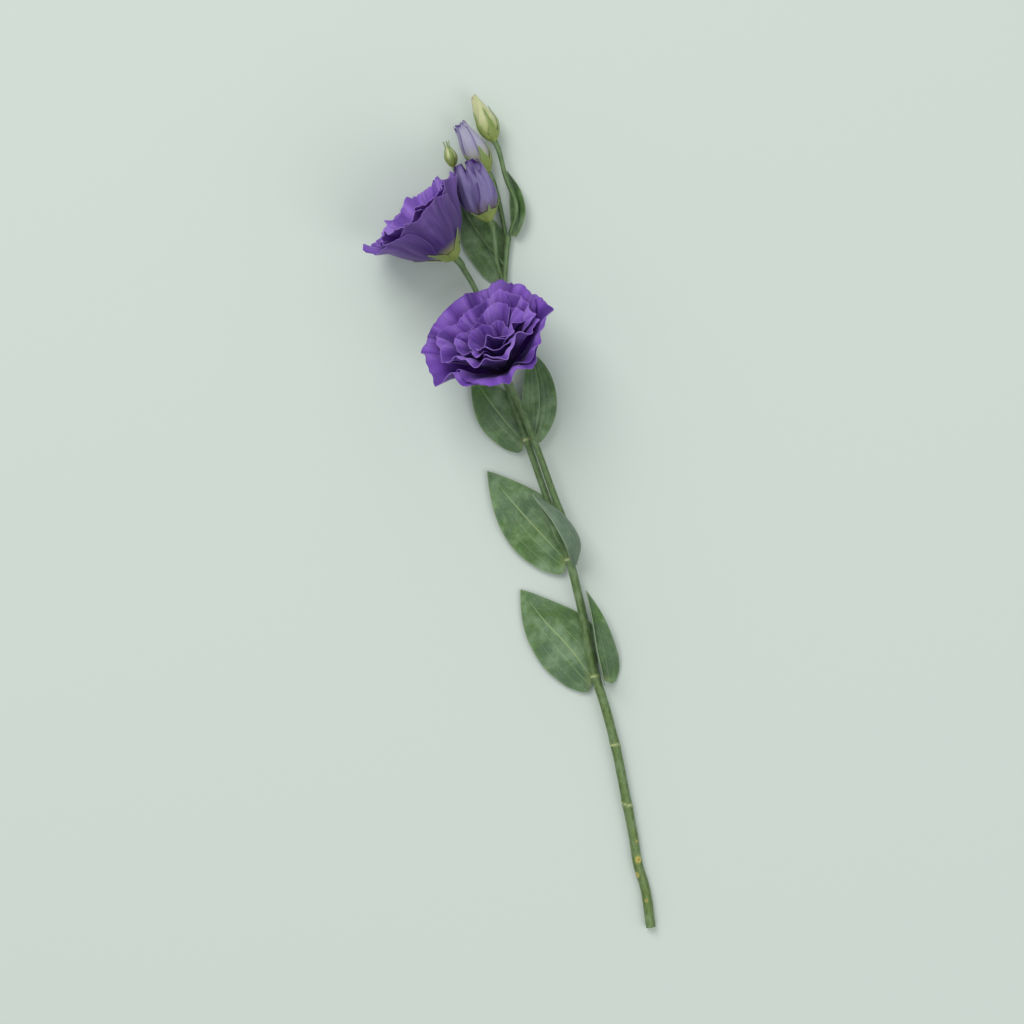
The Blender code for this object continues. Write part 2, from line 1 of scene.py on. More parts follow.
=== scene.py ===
# %% [markdown]
# # A cut spray of double lisianthus
#
# This lesson dresses a plain model of a cut lisianthus spray until it looks alive. The plain model
# gives every stem, leaf, sepal and petal its real place and size; here each one is made again as a
# fine surface with ruffles, veins and furrows, and given a finish made of shader nodes.
#
# A petal is the heart of the lesson. It could be sculpted by hand, but a flower has dozens, all
# cousins of one another, so one formula with a few honest parameters suits them better.

# %% The frame and its box
import math

import bpy
import numpy as np
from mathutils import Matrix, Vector


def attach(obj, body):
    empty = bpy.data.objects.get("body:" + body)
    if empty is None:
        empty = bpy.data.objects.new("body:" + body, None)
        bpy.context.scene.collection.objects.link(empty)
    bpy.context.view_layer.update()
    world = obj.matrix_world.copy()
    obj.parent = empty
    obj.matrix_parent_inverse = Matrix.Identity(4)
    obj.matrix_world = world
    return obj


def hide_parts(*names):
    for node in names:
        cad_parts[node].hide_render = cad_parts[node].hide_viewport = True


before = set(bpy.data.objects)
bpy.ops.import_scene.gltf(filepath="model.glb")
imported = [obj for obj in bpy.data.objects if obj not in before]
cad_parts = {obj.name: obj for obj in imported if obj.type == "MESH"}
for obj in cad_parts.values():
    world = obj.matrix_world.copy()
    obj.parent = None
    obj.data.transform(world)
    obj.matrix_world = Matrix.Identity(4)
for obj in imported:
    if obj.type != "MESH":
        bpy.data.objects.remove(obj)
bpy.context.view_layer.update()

MM = 0.001

# %% [markdown]
# ## Curves that plants grow along
#
# Stems, midribs and petal outlines are all smooth curves through a few chosen stops. A Bezier
# curve object could do it, but numbers are handier when a surface is built on the curve. The
# helper below draws a soft curve through its stops and reads it at even steps.

# %% Smooth curves and small helpers
STEPS_PER_STOP = 24


def unit(vector):
    """The vector at length one."""
    return vector / np.linalg.norm(vector)


def ease(value):
    """Smooth step from 0 to 1, for numbers or arrays."""
    value = np.clip(value, 0.0, 1.0)
    return value * value * (3 - 2 * value)


def smooth_points(stops, count):
    """Points evenly spread along a smooth curve through the stops."""
    stops = np.array(stops, float)
    steps = np.diff(stops, axis=0)
    lengths = np.linalg.norm(steps, axis=1)[:, None]
    slopes = steps / lengths
    between = (slopes[:-1] * lengths[1:] + slopes[1:] * lengths[:-1]) / (lengths[:-1] + lengths[1:])
    tangents = np.vstack([slopes[:1], between, slopes[-1:]])
    t = np.linspace(0, 1, STEPS_PER_STOP, endpoint=False)[:, None]
    leave, arrive, rise = t * (1 - t) ** 2, t * t * (t - 1), t * t * (3 - 2 * t)
    fine = []
    for i, length in enumerate(lengths):
        bend = (tangents[i] * leave + tangents[i + 1] * arrive) * length
        fine.append(stops[i] + steps[i] * rise + bend)
    fine = np.vstack(fine + [stops[-1:]])
    walked = np.append(0, np.cumsum(np.linalg.norm(np.diff(fine, axis=0), axis=1)))
    wanted = np.linspace(0, walked[-1], count)
    return np.column_stack([np.interp(wanted, walked, fine[:, k]) for k in range(fine.shape[1])])


def frame_on(axis):
    """The axis at length one, and two directions at right angles to it."""
    axis = unit(np.array(axis, float))
    first = unit(np.cross(np.array([0.0, 0.0, 1.0]), axis))
    return axis, first, np.cross(axis, first)


def waves(along, rng, low, high, count):
    """A wandering line about 1 high: sine waves whose speeds lie between low and high."""
    total = np.zeros_like(np.asarray(along, float))
    for _ in range(count):
        total = total + np.sin(rng.uniform(low, high) * along + rng.uniform(0, 2 * math.pi))
    return total / math.sqrt(count)


# %% [markdown]
# ## Thin living sheets
#
# Petals, sepals and leaves are all thin sheets. Blender's Solidify modifier could thicken a
# surface, but building both skins by hand lets each point carry facts that the finishes read: how
# near the margin it is, and whether it lies on the upper or the lower skin.

# %% Faces over grids and tubes
def grid_faces(rows, columns, offset=0, flip=False):
    """Quads over a grid of points."""
    j, i = np.meshgrid(np.arange(rows - 1), np.arange(columns - 1), indexing="ij")
    a = (j * columns + i).ravel() + offset
    quads = np.column_stack([a, a + 1, a + 1 + columns, a + columns])
    return quads[:, ::-1] if flip else quads


def ring_faces(rings, sides):
    """Quads between the rings of a tube."""
    ring, side = np.divmod(np.arange((rings - 1) * sides), sides)
    a, b = ring * sides + side, ring * sides + (side + 1) % sides
    return np.column_stack([a, b, b + sides, a + sides]).tolist()


def rim_loop(rows, columns):
    """The grid's outline, walked once round."""
    bottom = list(range(columns))
    right = [j * columns + columns - 1 for j in range(1, rows)]
    top = [(rows - 1) * columns + i for i in range(columns - 2, -1, -1)]
    left = [j * columns for j in range(rows - 2, 0, -1)]
    return np.array(bottom + right + top + left)


# %% A sheet with two skins
def grid_normals(grid):
    """Unit normals of a grid of points."""
    normal = np.cross(np.gradient(grid, axis=1), np.gradient(grid, axis=0))
    return normal / np.maximum(np.linalg.norm(normal, axis=2, keepdims=True), 1e-12)


def thin_sheet(grid, thickness, margin_width, face_first=True):
    """Points, faces and per-point facts of a closed sheet round a grid of middle points."""
    rows, columns = grid.shape[:2]
    half = (np.broadcast_to(thickness, (rows, columns)) / 2)[..., None]
    normal = grid_normals(grid)
    count = rows * columns
    points = np.vstack([(grid + normal * half).reshape(-1, 3), (grid - normal * half).reshape(-1, 3)])
    rim = rim_loop(rows, columns)
    after = np.roll(rim, -1)
    faces = [grid_faces(rows, columns), grid_faces(rows, columns, count, flip=True),
             np.column_stack([rim, rim + count, after + count, after])]
    step_across = np.linalg.norm(np.diff(grid, axis=1), axis=2)
    from_left = np.column_stack([np.zeros(rows), np.cumsum(step_across, axis=1)])
    from_right = from_left[:, -1:] - from_left
    step_along = np.linalg.norm(np.diff(grid, axis=0), axis=2)
    from_foot = np.vstack([np.zeros(columns), np.cumsum(step_along, axis=0)])
    from_tip = from_foot[-1:] - from_foot
    nearest = np.minimum(np.minimum(from_left, from_right), from_tip)
    margin = np.exp(-nearest / margin_width).ravel()
    v, u = np.meshgrid(np.linspace(0, 1, rows), np.linspace(0, 1, columns), indexing="ij")
    uv = np.column_stack([u.ravel(), v.ravel()])
    skins = [1.0, 0.0] if face_first else [0.0, 1.0]
    facts = {"margin": np.tile(margin, 2), "upper": np.repeat(skins, count)}
    return points, np.vstack(faces), np.vstack([uv, uv]), facts


# %% From points to a piece of the spray
def add_mesh(name, points, faces, uv, facts, material, sharp):
    """A mesh object whose points carry a map and named facts."""
    mesh = bpy.data.meshes.new(name)
    mesh.from_pydata(np.asarray(points).tolist(), [], [list(map(int, f)) for f in faces])
    layer = mesh.uv_layers.new(name="grown")
    corners = np.zeros(len(mesh.loops), dtype=np.int32)
    mesh.loops.foreach_get("vertex_index", corners)
    layer.data.foreach_set("uv", np.asarray(uv, np.float32)[corners].ravel())
    for fact, values in facts.items():
        made = mesh.attributes.new(fact, "FLOAT", "POINT")
        made.data.foreach_set("value", np.asarray(values, np.float32))
    mesh.materials.append(material)
    mesh.shade_smooth()
    mesh.set_sharp_from_angle(angle=math.radians(sharp))
    made = bpy.data.objects.new(name, mesh)
    bpy.context.collection.objects.link(made)
    return made


def join_parts(parts):
    """Several closed parts as one set of points, faces, map and facts."""
    points, faces, uvs, facts, start = [], [], [], {}, 0
    for part_points, part_faces, part_uv, part_facts in parts:
        points.append(part_points)
        faces += [[int(corner) + start for corner in face] for face in part_faces]
        uvs.append(part_uv)
        for fact, values in part_facts.items():
            facts.setdefault(fact, []).append(values)
        start += len(part_points)
    facts = {fact: np.concatenate(values) for fact, values in facts.items()}
    return np.vstack(points), faces, np.vstack(uvs), facts


def lay(node, material, sheet, sharp=60):
    """Make the fine piece that rides on the spray and stands for a plain node."""
    piece = add_mesh(node + "_fine", *sheet, material, sharp)
    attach(piece, "root")
    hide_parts(node)


# %% [markdown]
# ## The stage
#
# A cut spray lies on a table, so the camera looks straight down on it. The table is a plain pale
# sage sheet, and the light is a big soft box beyond the blooms with a weak fill, the way a
# florist's catalogue is lit: shadows stay soft and close to the plant.

# %% Table and soft light
TABLE_HALF = 3.0

bpy.ops.mesh.primitive_plane_add(size=2 * TABLE_HALF, location=(0, 0, 0))
table = bpy.context.object
table.name = "table_top"


def soft_light(name, place, size, watts, colour):
    """A square soft box aimed at the middle of the table."""
    data = bpy.data.lights.new(name, "AREA")
    data.shape, data.size, data.energy, data.color = "SQUARE", size, watts, colour
    lamp = bpy.data.objects.new(name, data)
    lamp.location = place
    lamp.rotation_euler = (-Vector(place)).to_track_quat("-Z", "Y").to_euler()
    bpy.context.collection.objects.link(lamp)


soft_light("key_box", (-1.5, 2.4, 3.0), size=2.4, watts=88, colour=(1.0, 0.985, 0.965))
soft_light("fill_box", (2.2, -1.6, 2.6), size=2.4, watts=30, colour=(0.96, 0.98, 1.0))

world = bpy.data.worlds.new("studio")
bpy.context.scene.world = world
world.use_nodes = True
sky = world.node_tree.nodes["Background"].inputs
sky["Color"].default_value = (0.84, 0.86, 0.85, 1)
sky["Strength"].default_value = 0.64
print("lights:", [lamp.name for lamp in bpy.data.lights])

# %% Camera
VIEW_WIDTH = 0.614
LENS = 85.0
SENSOR = 36.0

camera_data = bpy.data.cameras.new("overhead")
camera_data.lens, camera_data.sensor_width = LENS, SENSOR
camera = bpy.data.objects.new("overhead", camera_data)
bpy.context.collection.objects.link(camera)
camera.location = (0, 0, VIEW_WIDTH * LENS / SENSOR)
bpy.context.scene.camera = camera
bpy.context.scene.view_settings.view_transform = "Standard"
print("camera height, in mm:", round(camera.location.z * 1000))

# %% [markdown]
# ## Mixing finishes
#
# Every finish is a small recipe of shader nodes. Writing each link by hand is long, so a helper
# makes a node and feeds its sockets in one line. Numbers that are the same everywhere are set on
# the shader itself.

# %% A recipe book for materials
class Recipe:
    """A material under construction."""

    def __init__(self, name):
        self.material = bpy.data.materials.new(name)
        self.material.use_nodes = True
        self.tree = self.material.node_tree
        self.shader = self.tree.nodes["Principled BSDF"]

    def feed(self, node, sockets):
        """Set sockets to numbers, or link them to other nodes' outputs."""
        for socket, value in sockets.items():
            if isinstance(value, bpy.types.NodeSocket):
                self.tree.links.new(value, node.inputs[socket])
            else:
                node.inputs[socket].default_value = value

    def node(self, kind, sockets=None, **settings):
        """A new node, set up and fed."""
        made = self.tree.nodes.new("ShaderNode" + kind)
        for setting, value in settings.items():
            setattr(made, setting, value)
        self.feed(made, sockets or {})
        return made

    def math(self, operation, first, second=0.0):
        """One step of arithmetic."""
        return self.node("Math", {0: first, 1: second}, operation=operation).outputs[0]

    def times(self, first, second):
        """One factor weakened by another."""
        return self.math("MULTIPLY", first, second)

    def fact(self, name):
        """A fact that the mesh carries, or 0 where it has none by that name."""
        return self.node("Attribute", attribute_name=name).outputs["Fac"]

    def ramp(self, factor, *stops):
        """Colours or greys along a factor."""
        made = self.node("ValToRGB", {"Fac": factor})
        points = made.color_ramp.elements
        while len(points) < len(stops):
            points.new(0.5)
        for point, (place, colour) in zip(points, stops):
            point.position = place
            point.color = (colour, colour, colour, 1) if isinstance(colour, float) else (*colour, 1)
        return made.outputs["Color"]

    def mix(self, factor, first, second):
        """One colour over another."""
        made = self.node("Mix", data_type="RGBA")
        colours = [c if isinstance(c, bpy.types.NodeSocket) else (*c, 1) for c in (first, second)]
        self.feed(made, {0: factor, 6: colours[0], 7: colours[1]})
        return made.outputs[2]

    def layer(self, under, colour, factor, *stops):
        """A colour laid over another, as thickly as a ramp along the factor says."""
        return self.mix(self.ramp(factor, *stops), under, colour)

    def grown(self, across=1, up=1):
        """The sheet's own map, stretched: across it, and from its foot to its tip."""
        place = self.node("UVMap", uv_map="grown").outputs["UV"]
        return self.node("Mapping", {"Vector": place, "Scale": (across, up, 1)}).outputs["Vector"]

    def split(self, vector):
        """The three numbers of a place."""
        return self.node("SeparateXYZ", {"Vector": vector}).outputs

    def noise(self, vector, scale, detail=3.0, roughness=0.5, warp=0.0):
        """Cloudy grey noise."""
        sockets = {"Vector": vector, "Scale": scale, "Detail": detail, "Roughness": roughness,
                   "Distortion": warp}
        return self.node("TexNoise", sockets).outputs["Fac"]

    def spot(self):
        """The point's place in the spray's own frame."""
        return self.node("TexCoord").outputs["Object"]

    def bump(self, height, strength, distance, under=None):
        """A relief finer than the mesh."""
        sockets = {"Height": height, "Strength": strength, "Distance": distance}
        if under is not None:
            sockets["Normal"] = under
        return self.node("Bump", sockets).outputs["Normal"]

    def dress(self, colour, rough, normal, gloss, flesh, depth, tint, sheen=0.0):
        """A living skin: its colour, roughness, relief and gloss, and the light that sinks in."""
        self.feed(self.shader, {
            "Base Color": colour, "Roughness": rough, "Normal": normal, "Specular IOR Level": gloss,
            "Subsurface Weight": flesh, "Subsurface Scale": depth, "Subsurface Radius": tint,
            "Sheen Weight": sheen})
        return self.material


# %% The table's finish
SAGE = (0.61, 0.685, 0.64)
PALE_SAGE = (0.66, 0.74, 0.69)


def table_finish():
    """Plain matt paper in pale sage."""
    r = Recipe("sage_paper")
    cloud = r.noise(r.spot(), 3.0, 4)
    colour = r.mix(r.times(cloud, 0.06), SAGE, PALE_SAGE)
    r.feed(r.shader, {"Base Color": colour, "Roughness": 0.95, "Specular IOR Level": 0.1})
    return r.material


table.data.materials.append(table_finish())
print("the table wears", table.data.materials[0].name)

# %% [markdown]
# ## The petals' finish
#
# A lisianthus petal is satin on its face and duller on its back. Fine veins run up it like the
# ribs of a fan and its foot is pale yellow-green. Shade is painted into its folds, its creases and
# its throat deep in the bloom, highlights are painted on its ridges and paler streaks, and its
# frilled margin catches the light as a paler painted thread. The map on each sheet runs across and
# up the petal, so stretching a noise along it gives veins that fan out by themselves.

# %% A finish for any petal
def petal_finish(name, face, back, throat, edge, brim, foot, foot_reach=0.16, shade=0.85, rim=0.55,
                 gloss=0.35):
    """Veined satin for one kind of petal.

    face, back: the two skins. throat: the dark of the veins and cloudy patches, and of the painted
    shade in folds, creases and the deep middle. edge, brim: the margin seen from the back and from
    the face. foot: the colour at the petal's foot, up to foot_reach of its height. shade, rim, gloss:
    how strong the painted shade towards the foot, the margin and the painted highlight streaks are.
    """
    r = Recipe(name)
    up = r.split(r.grown())["Y"]
    upper = r.fact("upper")
    fine = r.noise(r.grown(52, 1.2), 1.0, 4, 0.6, 0.3)
    broad = r.noise(r.grown(11, 0.9), 1.0, 3, 0.55, 0.6)
    cloud = r.noise(r.spot(), 70.0, 3, 0.5)
    skin = r.mix(upper, back, face)
    on_face = r.math("ADD", r.times(upper, 0.6), 0.4)
    valley = r.mix(upper, r.math("SUBTRACT", 1.0, r.fact("valley")), r.fact("valley"))
    # Painted shade in the fold valleys, and painted highlight on the fold ridges.
    painted_fold_shade = r.times(r.ramp(valley, (0.45, 0.0), (0.90, 0.95)), on_face)
    painted_ridge_highlight = r.times(r.ramp(valley, (0.08, 0.85), (0.48, 0.0)), on_face)
    # ribs: painted crease shade, dark streaks where the crease noise that bumps the petal lies low.
    ribs = r.times(r.ramp(broad, (0.33, 0.75), (0.48, 0.0)), on_face)
    # Painted highlight: paler streaks where the crease noise stands high, as strong as gloss.
    highlight_streaks_painted = r.layer(skin, r.mix(0.6, skin, edge), broad, (0.50, 0.0), (0.68, gloss))
    ridge_highlight_painted = r.mix(painted_ridge_highlight, highlight_streaks_painted, r.mix(0.5, skin, edge))
    fold_shade_painted = r.mix(painted_fold_shade, ridge_highlight_painted, r.mix(0.72, skin, throat))
    crease_shade_painted = r.mix(ribs, fold_shade_painted, r.mix(0.5, skin, throat))
    dusk = r.times(r.ramp(cloud, (0.4, 1.0), (0.65, 0.0)), 0.35)
    clouded = r.mix(dusk, crease_shade_painted, r.mix(0.4, skin, throat))
    veined = r.layer(clouded, r.mix(0.7, skin, throat), fine, (0.36, 0.34), (0.50, 0.0))
    # Painted shade: the petal darkens towards its foot, deep in the bloom, as strong as shade.
    wander = r.math("ADD", up, r.times(r.math("SUBTRACT", broad, 0.5), 0.5))
    foot_shade_painted = r.layer(veined, throat, wander, (0.15, shade), (0.58, 0.62 * shade), (0.94, 0.0))
    # Where the margin is paler than the petal it is painted highlight, the rim catching the light; the
    # buds' dusky margins are their own colour.
    rimmed = r.mix(r.times(r.fact("margin"), rim), foot_shade_painted, r.mix(upper, edge, brim))
    bare = r.math("SUBTRACT", 1.0, r.times(upper, 0.85))
    footing = r.times(r.ramp(up, (0.05, 0.9), (foot_reach, 0.0)), bare)
    colour = r.mix(footing, rimmed, foot)
    crease = r.math("ADD", r.times(fine, 0.5), broad)
    grain = r.noise(r.spot(), 2600.0, 2, 0.5)
    normal = r.bump(grain, 0.08, 0.0002, r.bump(crease, 0.4, 0.0009))
    rough = r.ramp(broad, (0.3, 0.46), (0.7, 0.60))
    r.feed(r.shader, {"Sheen Roughness": 0.45, "Sheen Tint": (0.72, 0.55, 1.0, 1)})
    return r.dress(colour, rough, normal, 0.34, 0.2, 0.0016, (0.8, 0.35, 1.0), sheen=0.22)


# %% Finishes of the blooms' petals
GREEN_FOOT = (0.36, 0.40, 0.09)
# The open bloom's petal feet lie deep in its middle: their dark foot colour is painted shade.
SHADED_FOOT = (0.10, 0.07, 0.10)
violet_petal = petal_finish(
    "violet_petal", face=(0.235, 0.100, 0.560), back=(0.135, 0.062, 0.300),
    throat=(0.040, 0.009, 0.145), edge=(0.42, 0.26, 0.76), brim=(0.12, 0.045, 0.32), foot=SHADED_FOOT)
ribbon_petal = petal_finish(
    "ribbon_petal", face=(0.250, 0.108, 0.590), back=(0.130, 0.058, 0.290),
    throat=(0.040, 0.009, 0.145), edge=(0.50, 0.33, 0.85), brim=(0.36, 0.20, 0.70), foot=SHADED_FOOT)
bell_petal = petal_finish(
    "bell_petal", face=(0.235, 0.100, 0.560), back=(0.120, 0.055, 0.265),
    throat=(0.026, 0.008, 0.095), edge=(0.30, 0.18, 0.52), brim=(0.14, 0.05, 0.36), foot=GREEN_FOOT,
    foot_reach=0.30, rim=0.3, gloss=0.8)
OUTER_FINISH = {"open_bloom": violet_petal, "side_bloom": bell_petal}
print("petal finishes:", violet_petal.name, ribbon_petal.name, bell_petal.name)

# %% [markdown]
# ## How a petal grows
#
# Each bloom is a nest of whorls. A whorl has a profile, the curve that its petals follow from foot
# to rim, and every petal reaches further round the axis than its share, so that its one edge lies
# outside its neighbour and its other edge inside, like the blades of a pinwheel.
#
# Ruffles come in two kinds. A whorl's petals share the broad waves, so that layers that lie on
# each other ripple together and never cross. What each petal has for itself only moves its outer
# edge further out and its inner edge further in. Cloth could be simulated for this, but drawn
# waves keep every petal where the plain model has it.

# %% Whorls of the two blooms, in millimetres
FULL_WHORL = 5
FOOT_HALF_ANGLE = 27
RIM_HALF_ANGLE = 54
OVERLAP_SLOPE = 0.95
TIP_DROP = 0.13
CORNER_DROP = 0.20
PETAL_THICKNESS = 0.3
PETAL_MARGIN = 0.35
PETAL_ROWS = 54
PETAL_COLUMNS = 62
FLOOR_GAP = 0.3

# Angles are in degrees round the bloom's axis. turn: where the first petal stands. lengths: each
# petal's length as a share of the profile. ruffle: the wave that the plain petals have too.
# overlap: how far one edge lies outside the neighbour, 1 if not given. flare: how much the rim bends
# out on one side, towards which angle and how widely. curls: where the rim alone bends out or in,
# how widely and how much. tongues: where the rim reaches further or less far, how widely and by
# what share. waves, pleats and teeth: how strongly the petals wave, fold lengthwise and notch.
OPEN_BLOOM = dict(
    base=(-4.6, 84.4, 17.0), axis=(-0.311, 0.621, 0.719),
    whorls=[
        dict(name="outer", turn=12, ruffle=1.5, lengths=(1.0, 0.96, 1.0, 0.97, 0.94),
             flare=(5.0, 78, 55), waves=1.1, pleats=0.26, teeth=0.016,
             curls=[(14, 10, 3.0), (44, 9, -2.4), (82, 26, 2.4), (112, 9, 1.6), (146, 12, -2.0),
                    (206, 14, 2.0)],
             tongues=[(29, 9, 0.07), (-7, 6, 0.04), (168, 16, 0.02), (238, 6, 0.04), (268, 5, 0.04),
                      (84, 16, 0.03), (252, 6, -0.03), (214, 5, 0.03)],
             profile=[(5.2, 2.3), (11.4, 7.5), (18.8, 14.5), (26.4, 23), (33.5, 31.5), (39, 35.5)]),
        dict(name="middle", turn=46, ruffle=1.3, lengths=(0.97, 1.0, 0.95, 1.0, 0.96),
             flare=(-2.0, 78, 60), waves=1.2, pleats=0.26, teeth=0.018,
             curls=[(22, 9, 3.4), (98, 11, 3.6), (132, 9, -2.0), (158, 10, 4.0), (186, 8, -2.0)],
             tongues=[(98, 10, 0.05), (158, 9, 0.06), (10, 9, 0.05), (276, 48, -0.20), (228, 9, 0.07)],
             profile=[(4.3, 2.9), (8.2, 9.5), (14.0, 18), (20.0, 27), (26.5, 35.5), (31.5, 39)]),
        dict(name="inner", turn=23, ruffle=1.0, lengths=(1.0, 0.95, 0.98, 1.0, 0.94),
             flare=(-1.0, 78, 60), waves=1.3, pleats=0.22, teeth=0.018,
             curls=[(70, 12, 3.2), (124, 12, 3.8), (172, 12, 3.4), (100, 8, -1.6)],
             tongues=[(60, 12, 0.06), (124, 12, 0.05), (180, 12, 0.05), (290, 52, -0.22), (330, 10, 0.06)],
             profile=[(3.5, 3.4), (6.0, 11), (9.8, 20), (13.8, 28), (17.8, 34.5), (21.5, 38)]),
        dict(name="centre", turn=60, ruffle=0.6, lengths=(1.0, 0.95, 0.97),
             flare=(1.0, 258, 60), waves=1.1, pleats=0.15, teeth=0.018,
             curls=[(40, 24, 2.4), (150, 24, 2.6), (95, 16, -1.2)],
             tongues=[(30, 20, 0.08), (150, 20, 0.06), (270, 50, -0.10)],
             profile=[(2.75, 3.9), (3.5, 11), (5.2, 18), (7.2, 25), (9.2, 30.5), (11.6, 34.5)]),
    ])
SIDE_BLOOM = dict(
    base=(-33.9, 150.6, 21.8), axis=(-0.668, 0.704, 0.242),
    whorls=[
        dict(name="outer", turn=18, ruffle=1.3, lengths=(1.0, 0.97, 1.0, 0.96, 0.98),
             flare=(4.0, 0, 50), overlap=0.55, waves=0.8, pleats=0.05, teeth=0.014,
             curls=[(3, 12, -2.2), (60, 18, -1.6), (124, 14, 1.8)],
             tongues=[(3, 7, 0.11), (-20, 3.5, 0.10), (-34, 4, 0.05), (215, 4, 0.07), (228, 3, 0.06),
                      (60, 20, -0.05), (252, 4, 0.05)],
             profile=[(5.2, 2.3), (10.5, 7.5), (17.5, 13.5), (22.5, 21), (26.5, 29.5), (33, 38)]),
        dict(name="inner", turn=54, ruffle=1.2, lengths=(1.0, 0.96, 0.98, 1.0, 0.95),
             flare=(2.0, 0, 50), waves=1.2, pleats=0.2, teeth=0.026,
             curls=[(240, 12, 2.6), (284, 10, 2.4), (90, 16, 2.4), (140, 12, 2.0)],
             tongues=[(300, 4, 0.07), (262, 5, 0.07), (340, 4, 0.06), (210, 5, 0.05)],
             profile=[(4.2, 2.9), (7.4, 9.5), (12.5, 17), (17.0, 25), (21.5, 33), (26.5, 40)]),
    ])
print("petals in the open bloom's whorls:", [len(whorl["lengths"]) for whorl in OPEN_BLOOM["whorls"]])

# %% Waves that a whorl shares, and its reach
# Broad to fine waves: their length along the rim, their height, and how close they keep to it.
WAVES = [(34, 1.3, 1.4), (21, 1.5, 1.7), (13.5, 1.15, 2.4), (9.5, 0.6, 3.6), (7.2, 0.32, 5.0)]
PROFILE_STEPS = 200


def away(angle, towards):
    """Degrees from one direction about the axis to another, for angles in radians."""
    return (np.degrees(angle) - towards + 180) % 360 - 180


def shared_waves(whorl, angle, along, seed):
    """Shift, in millimetres, that every petal of a whorl has at an angle, and its waves alone."""
    rng = np.random.default_rng(seed)
    round_rim = 2 * math.pi * whorl["profile"][-1][0]
    calm = 0.75 + 0.35 * np.sin(2 * angle + rng.uniform(0, 6)) * np.sin(3 * angle + rng.uniform(0, 6))
    fold = whorl["ruffle"] * 0.6 * along ** 3 * np.sin(5 * angle + whorl["turn"])
    for length, height, power in WAVES:
        count = max(2, round(round_rim / length))
        wave = np.sin(count * angle + rng.uniform(0, 2 * math.pi) + along)
        fold = fold + whorl["waves"] * height * calm * along ** power * wave
    amount, towards, spread = whorl["flare"]
    shift = fold + amount * along ** 3 * np.exp(-(away(angle, towards) / spread) ** 2)
    for towards, width, amount in whorl["curls"]:
        shift = shift + amount * along ** 6 * np.exp(-(away(angle, towards) / width) ** 2)
    return shift, fold


def profile_table(profile):
    """A profile read at even steps and led a little past its rim, with its outward directions."""
    curve = smooth_points(profile, PROFILE_STEPS)
    extra = np.arange(1, PROFILE_STEPS // 5 + 1)
    curve = np.vstack([curve, curve[-1] + np.outer(extra, curve[-1] - curve[-2])])
    run = np.gradient(curve, axis=0)
    outward = np.column_stack([run[:, 1], -run[:, 0]])
    places = np.arange(len(curve)) / (PROFILE_STEPS - 1)
    return places, curve, outward / np.linalg.norm(outward, axis=1, keepdims=True)


# %% Places round an axis, and on a sheet
def on_axis(base, axis, angle, radius, height):
    """World points, in metres, for angles, radii and heights about a bloom's axis."""
    axis, first, second = frame_on(axis)
    ray = np.cos(angle)[..., None] * first + np.sin(angle)[..., None] * second
    return (np.array(base) + axis * height[..., None] + ray * radius[..., None]) * MM


def sheet_map(rows, columns):
    """How far up a sheet each point of its grid lies, 0 to 1, and how far across it, -1 to 1."""
    return np.meshgrid(np.linspace(0, 1, rows), np.linspace(-1, 1, columns), indexing="ij")


# %% One petal
def petal_grid(bloom, whorl, petal, seed, whorl_seed):
    """The middle surface of a petal, as a grid of points, and how deep each lies in a fold."""
    rng = np.random.default_rng(seed)
    share, across = sheet_map(PETAL_ROWS, PETAL_COLUMNS)
    edge = np.abs(across)
    count = len(whorl["lengths"])
    centre = whorl["turn"] + 360 / count * petal
    widen = FULL_WHORL / count * across
    # The outline: a rounded tip with notches, and the whorl's tongues.
    outline = 1 - TIP_DROP * edge ** 3 - CORNER_DROP * edge ** 10 + 0.016 * waves(across, rng, 3, 7, 3)
    outline -= whorl["teeth"] * np.abs(waves(across, rng, 13, 24, 2)) * rng.uniform(0.7, 1.2)
    outline += 0.25 * whorl["teeth"] * waves(across, rng, 40, 60, 3)
    rim_angle = np.radians(centre + RIM_HALF_ANGLE * widen)
    for towards, width, reach in whorl["tongues"]:
        outline += reach * np.exp(-np.abs(away(rim_angle, towards) / width) ** 3)
    along = share * whorl["lengths"][petal] * (1 + (outline - 1) * share)
    half_angle = FOOT_HALF_ANGLE + (RIM_HALF_ANGLE - FOOT_HALF_ANGLE) * ease(along / 0.5)
    angle = np.radians(centre + half_angle * widen)
    # How far the petal stands off its profile: overlap, shared waves, its own waves, its pleats.
    near_rim = np.clip((along - 0.4) / 0.6, 0, 1.1)
    overlap = whorl.get("overlap", 1.0)
    shift = overlap * (OVERLAP_SLOPE + 0.9 * near_rim ** 2) * across * ease(along / 0.32)
    together, fold = shared_waves(whorl, angle, along, whorl_seed)
    own = overlap * waves(across + 0.2 * along, rng, 5, 10, 3) * near_rim ** 1.6
    own_middle = own * (1 - ease(edge / 0.8))
    own_edges = np.abs(own) * np.sign(across) * ease((edge - 0.45) / 0.55)
    folds = waves(across * (1 + 0.15 * along), rng, 14, 26, 4) * ease(along / 0.25) * (1 - 0.3 * along)
    broad = waves(across, rng, 4, 8, 2) * (1 - edge ** 2) * ease(along / 0.4) * (1.1 - along)
    pleated = whorl["pleats"] * (0.55 * folds + 3.0 * broad)
    shift += together + 0.9 * whorl["waves"] * (own_middle + own_edges) + pleated
    # How deep each point lies in a fold; the finish paints shade in the valleys and highlight on the
    # ridges.
    valley = 0.5 + 0.5 * np.tanh((fold + 2.0 * pleated) / 1.3)
    places, curve, outward = profile_table(whorl["profile"])
    radius, height = (np.interp(along, places, curve[:, k])
                      + np.interp(along, places, outward[:, k]) * shift for k in (0, 1))
    return on_axis(bloom["base"], bloom["axis"], angle, radius, height), valley


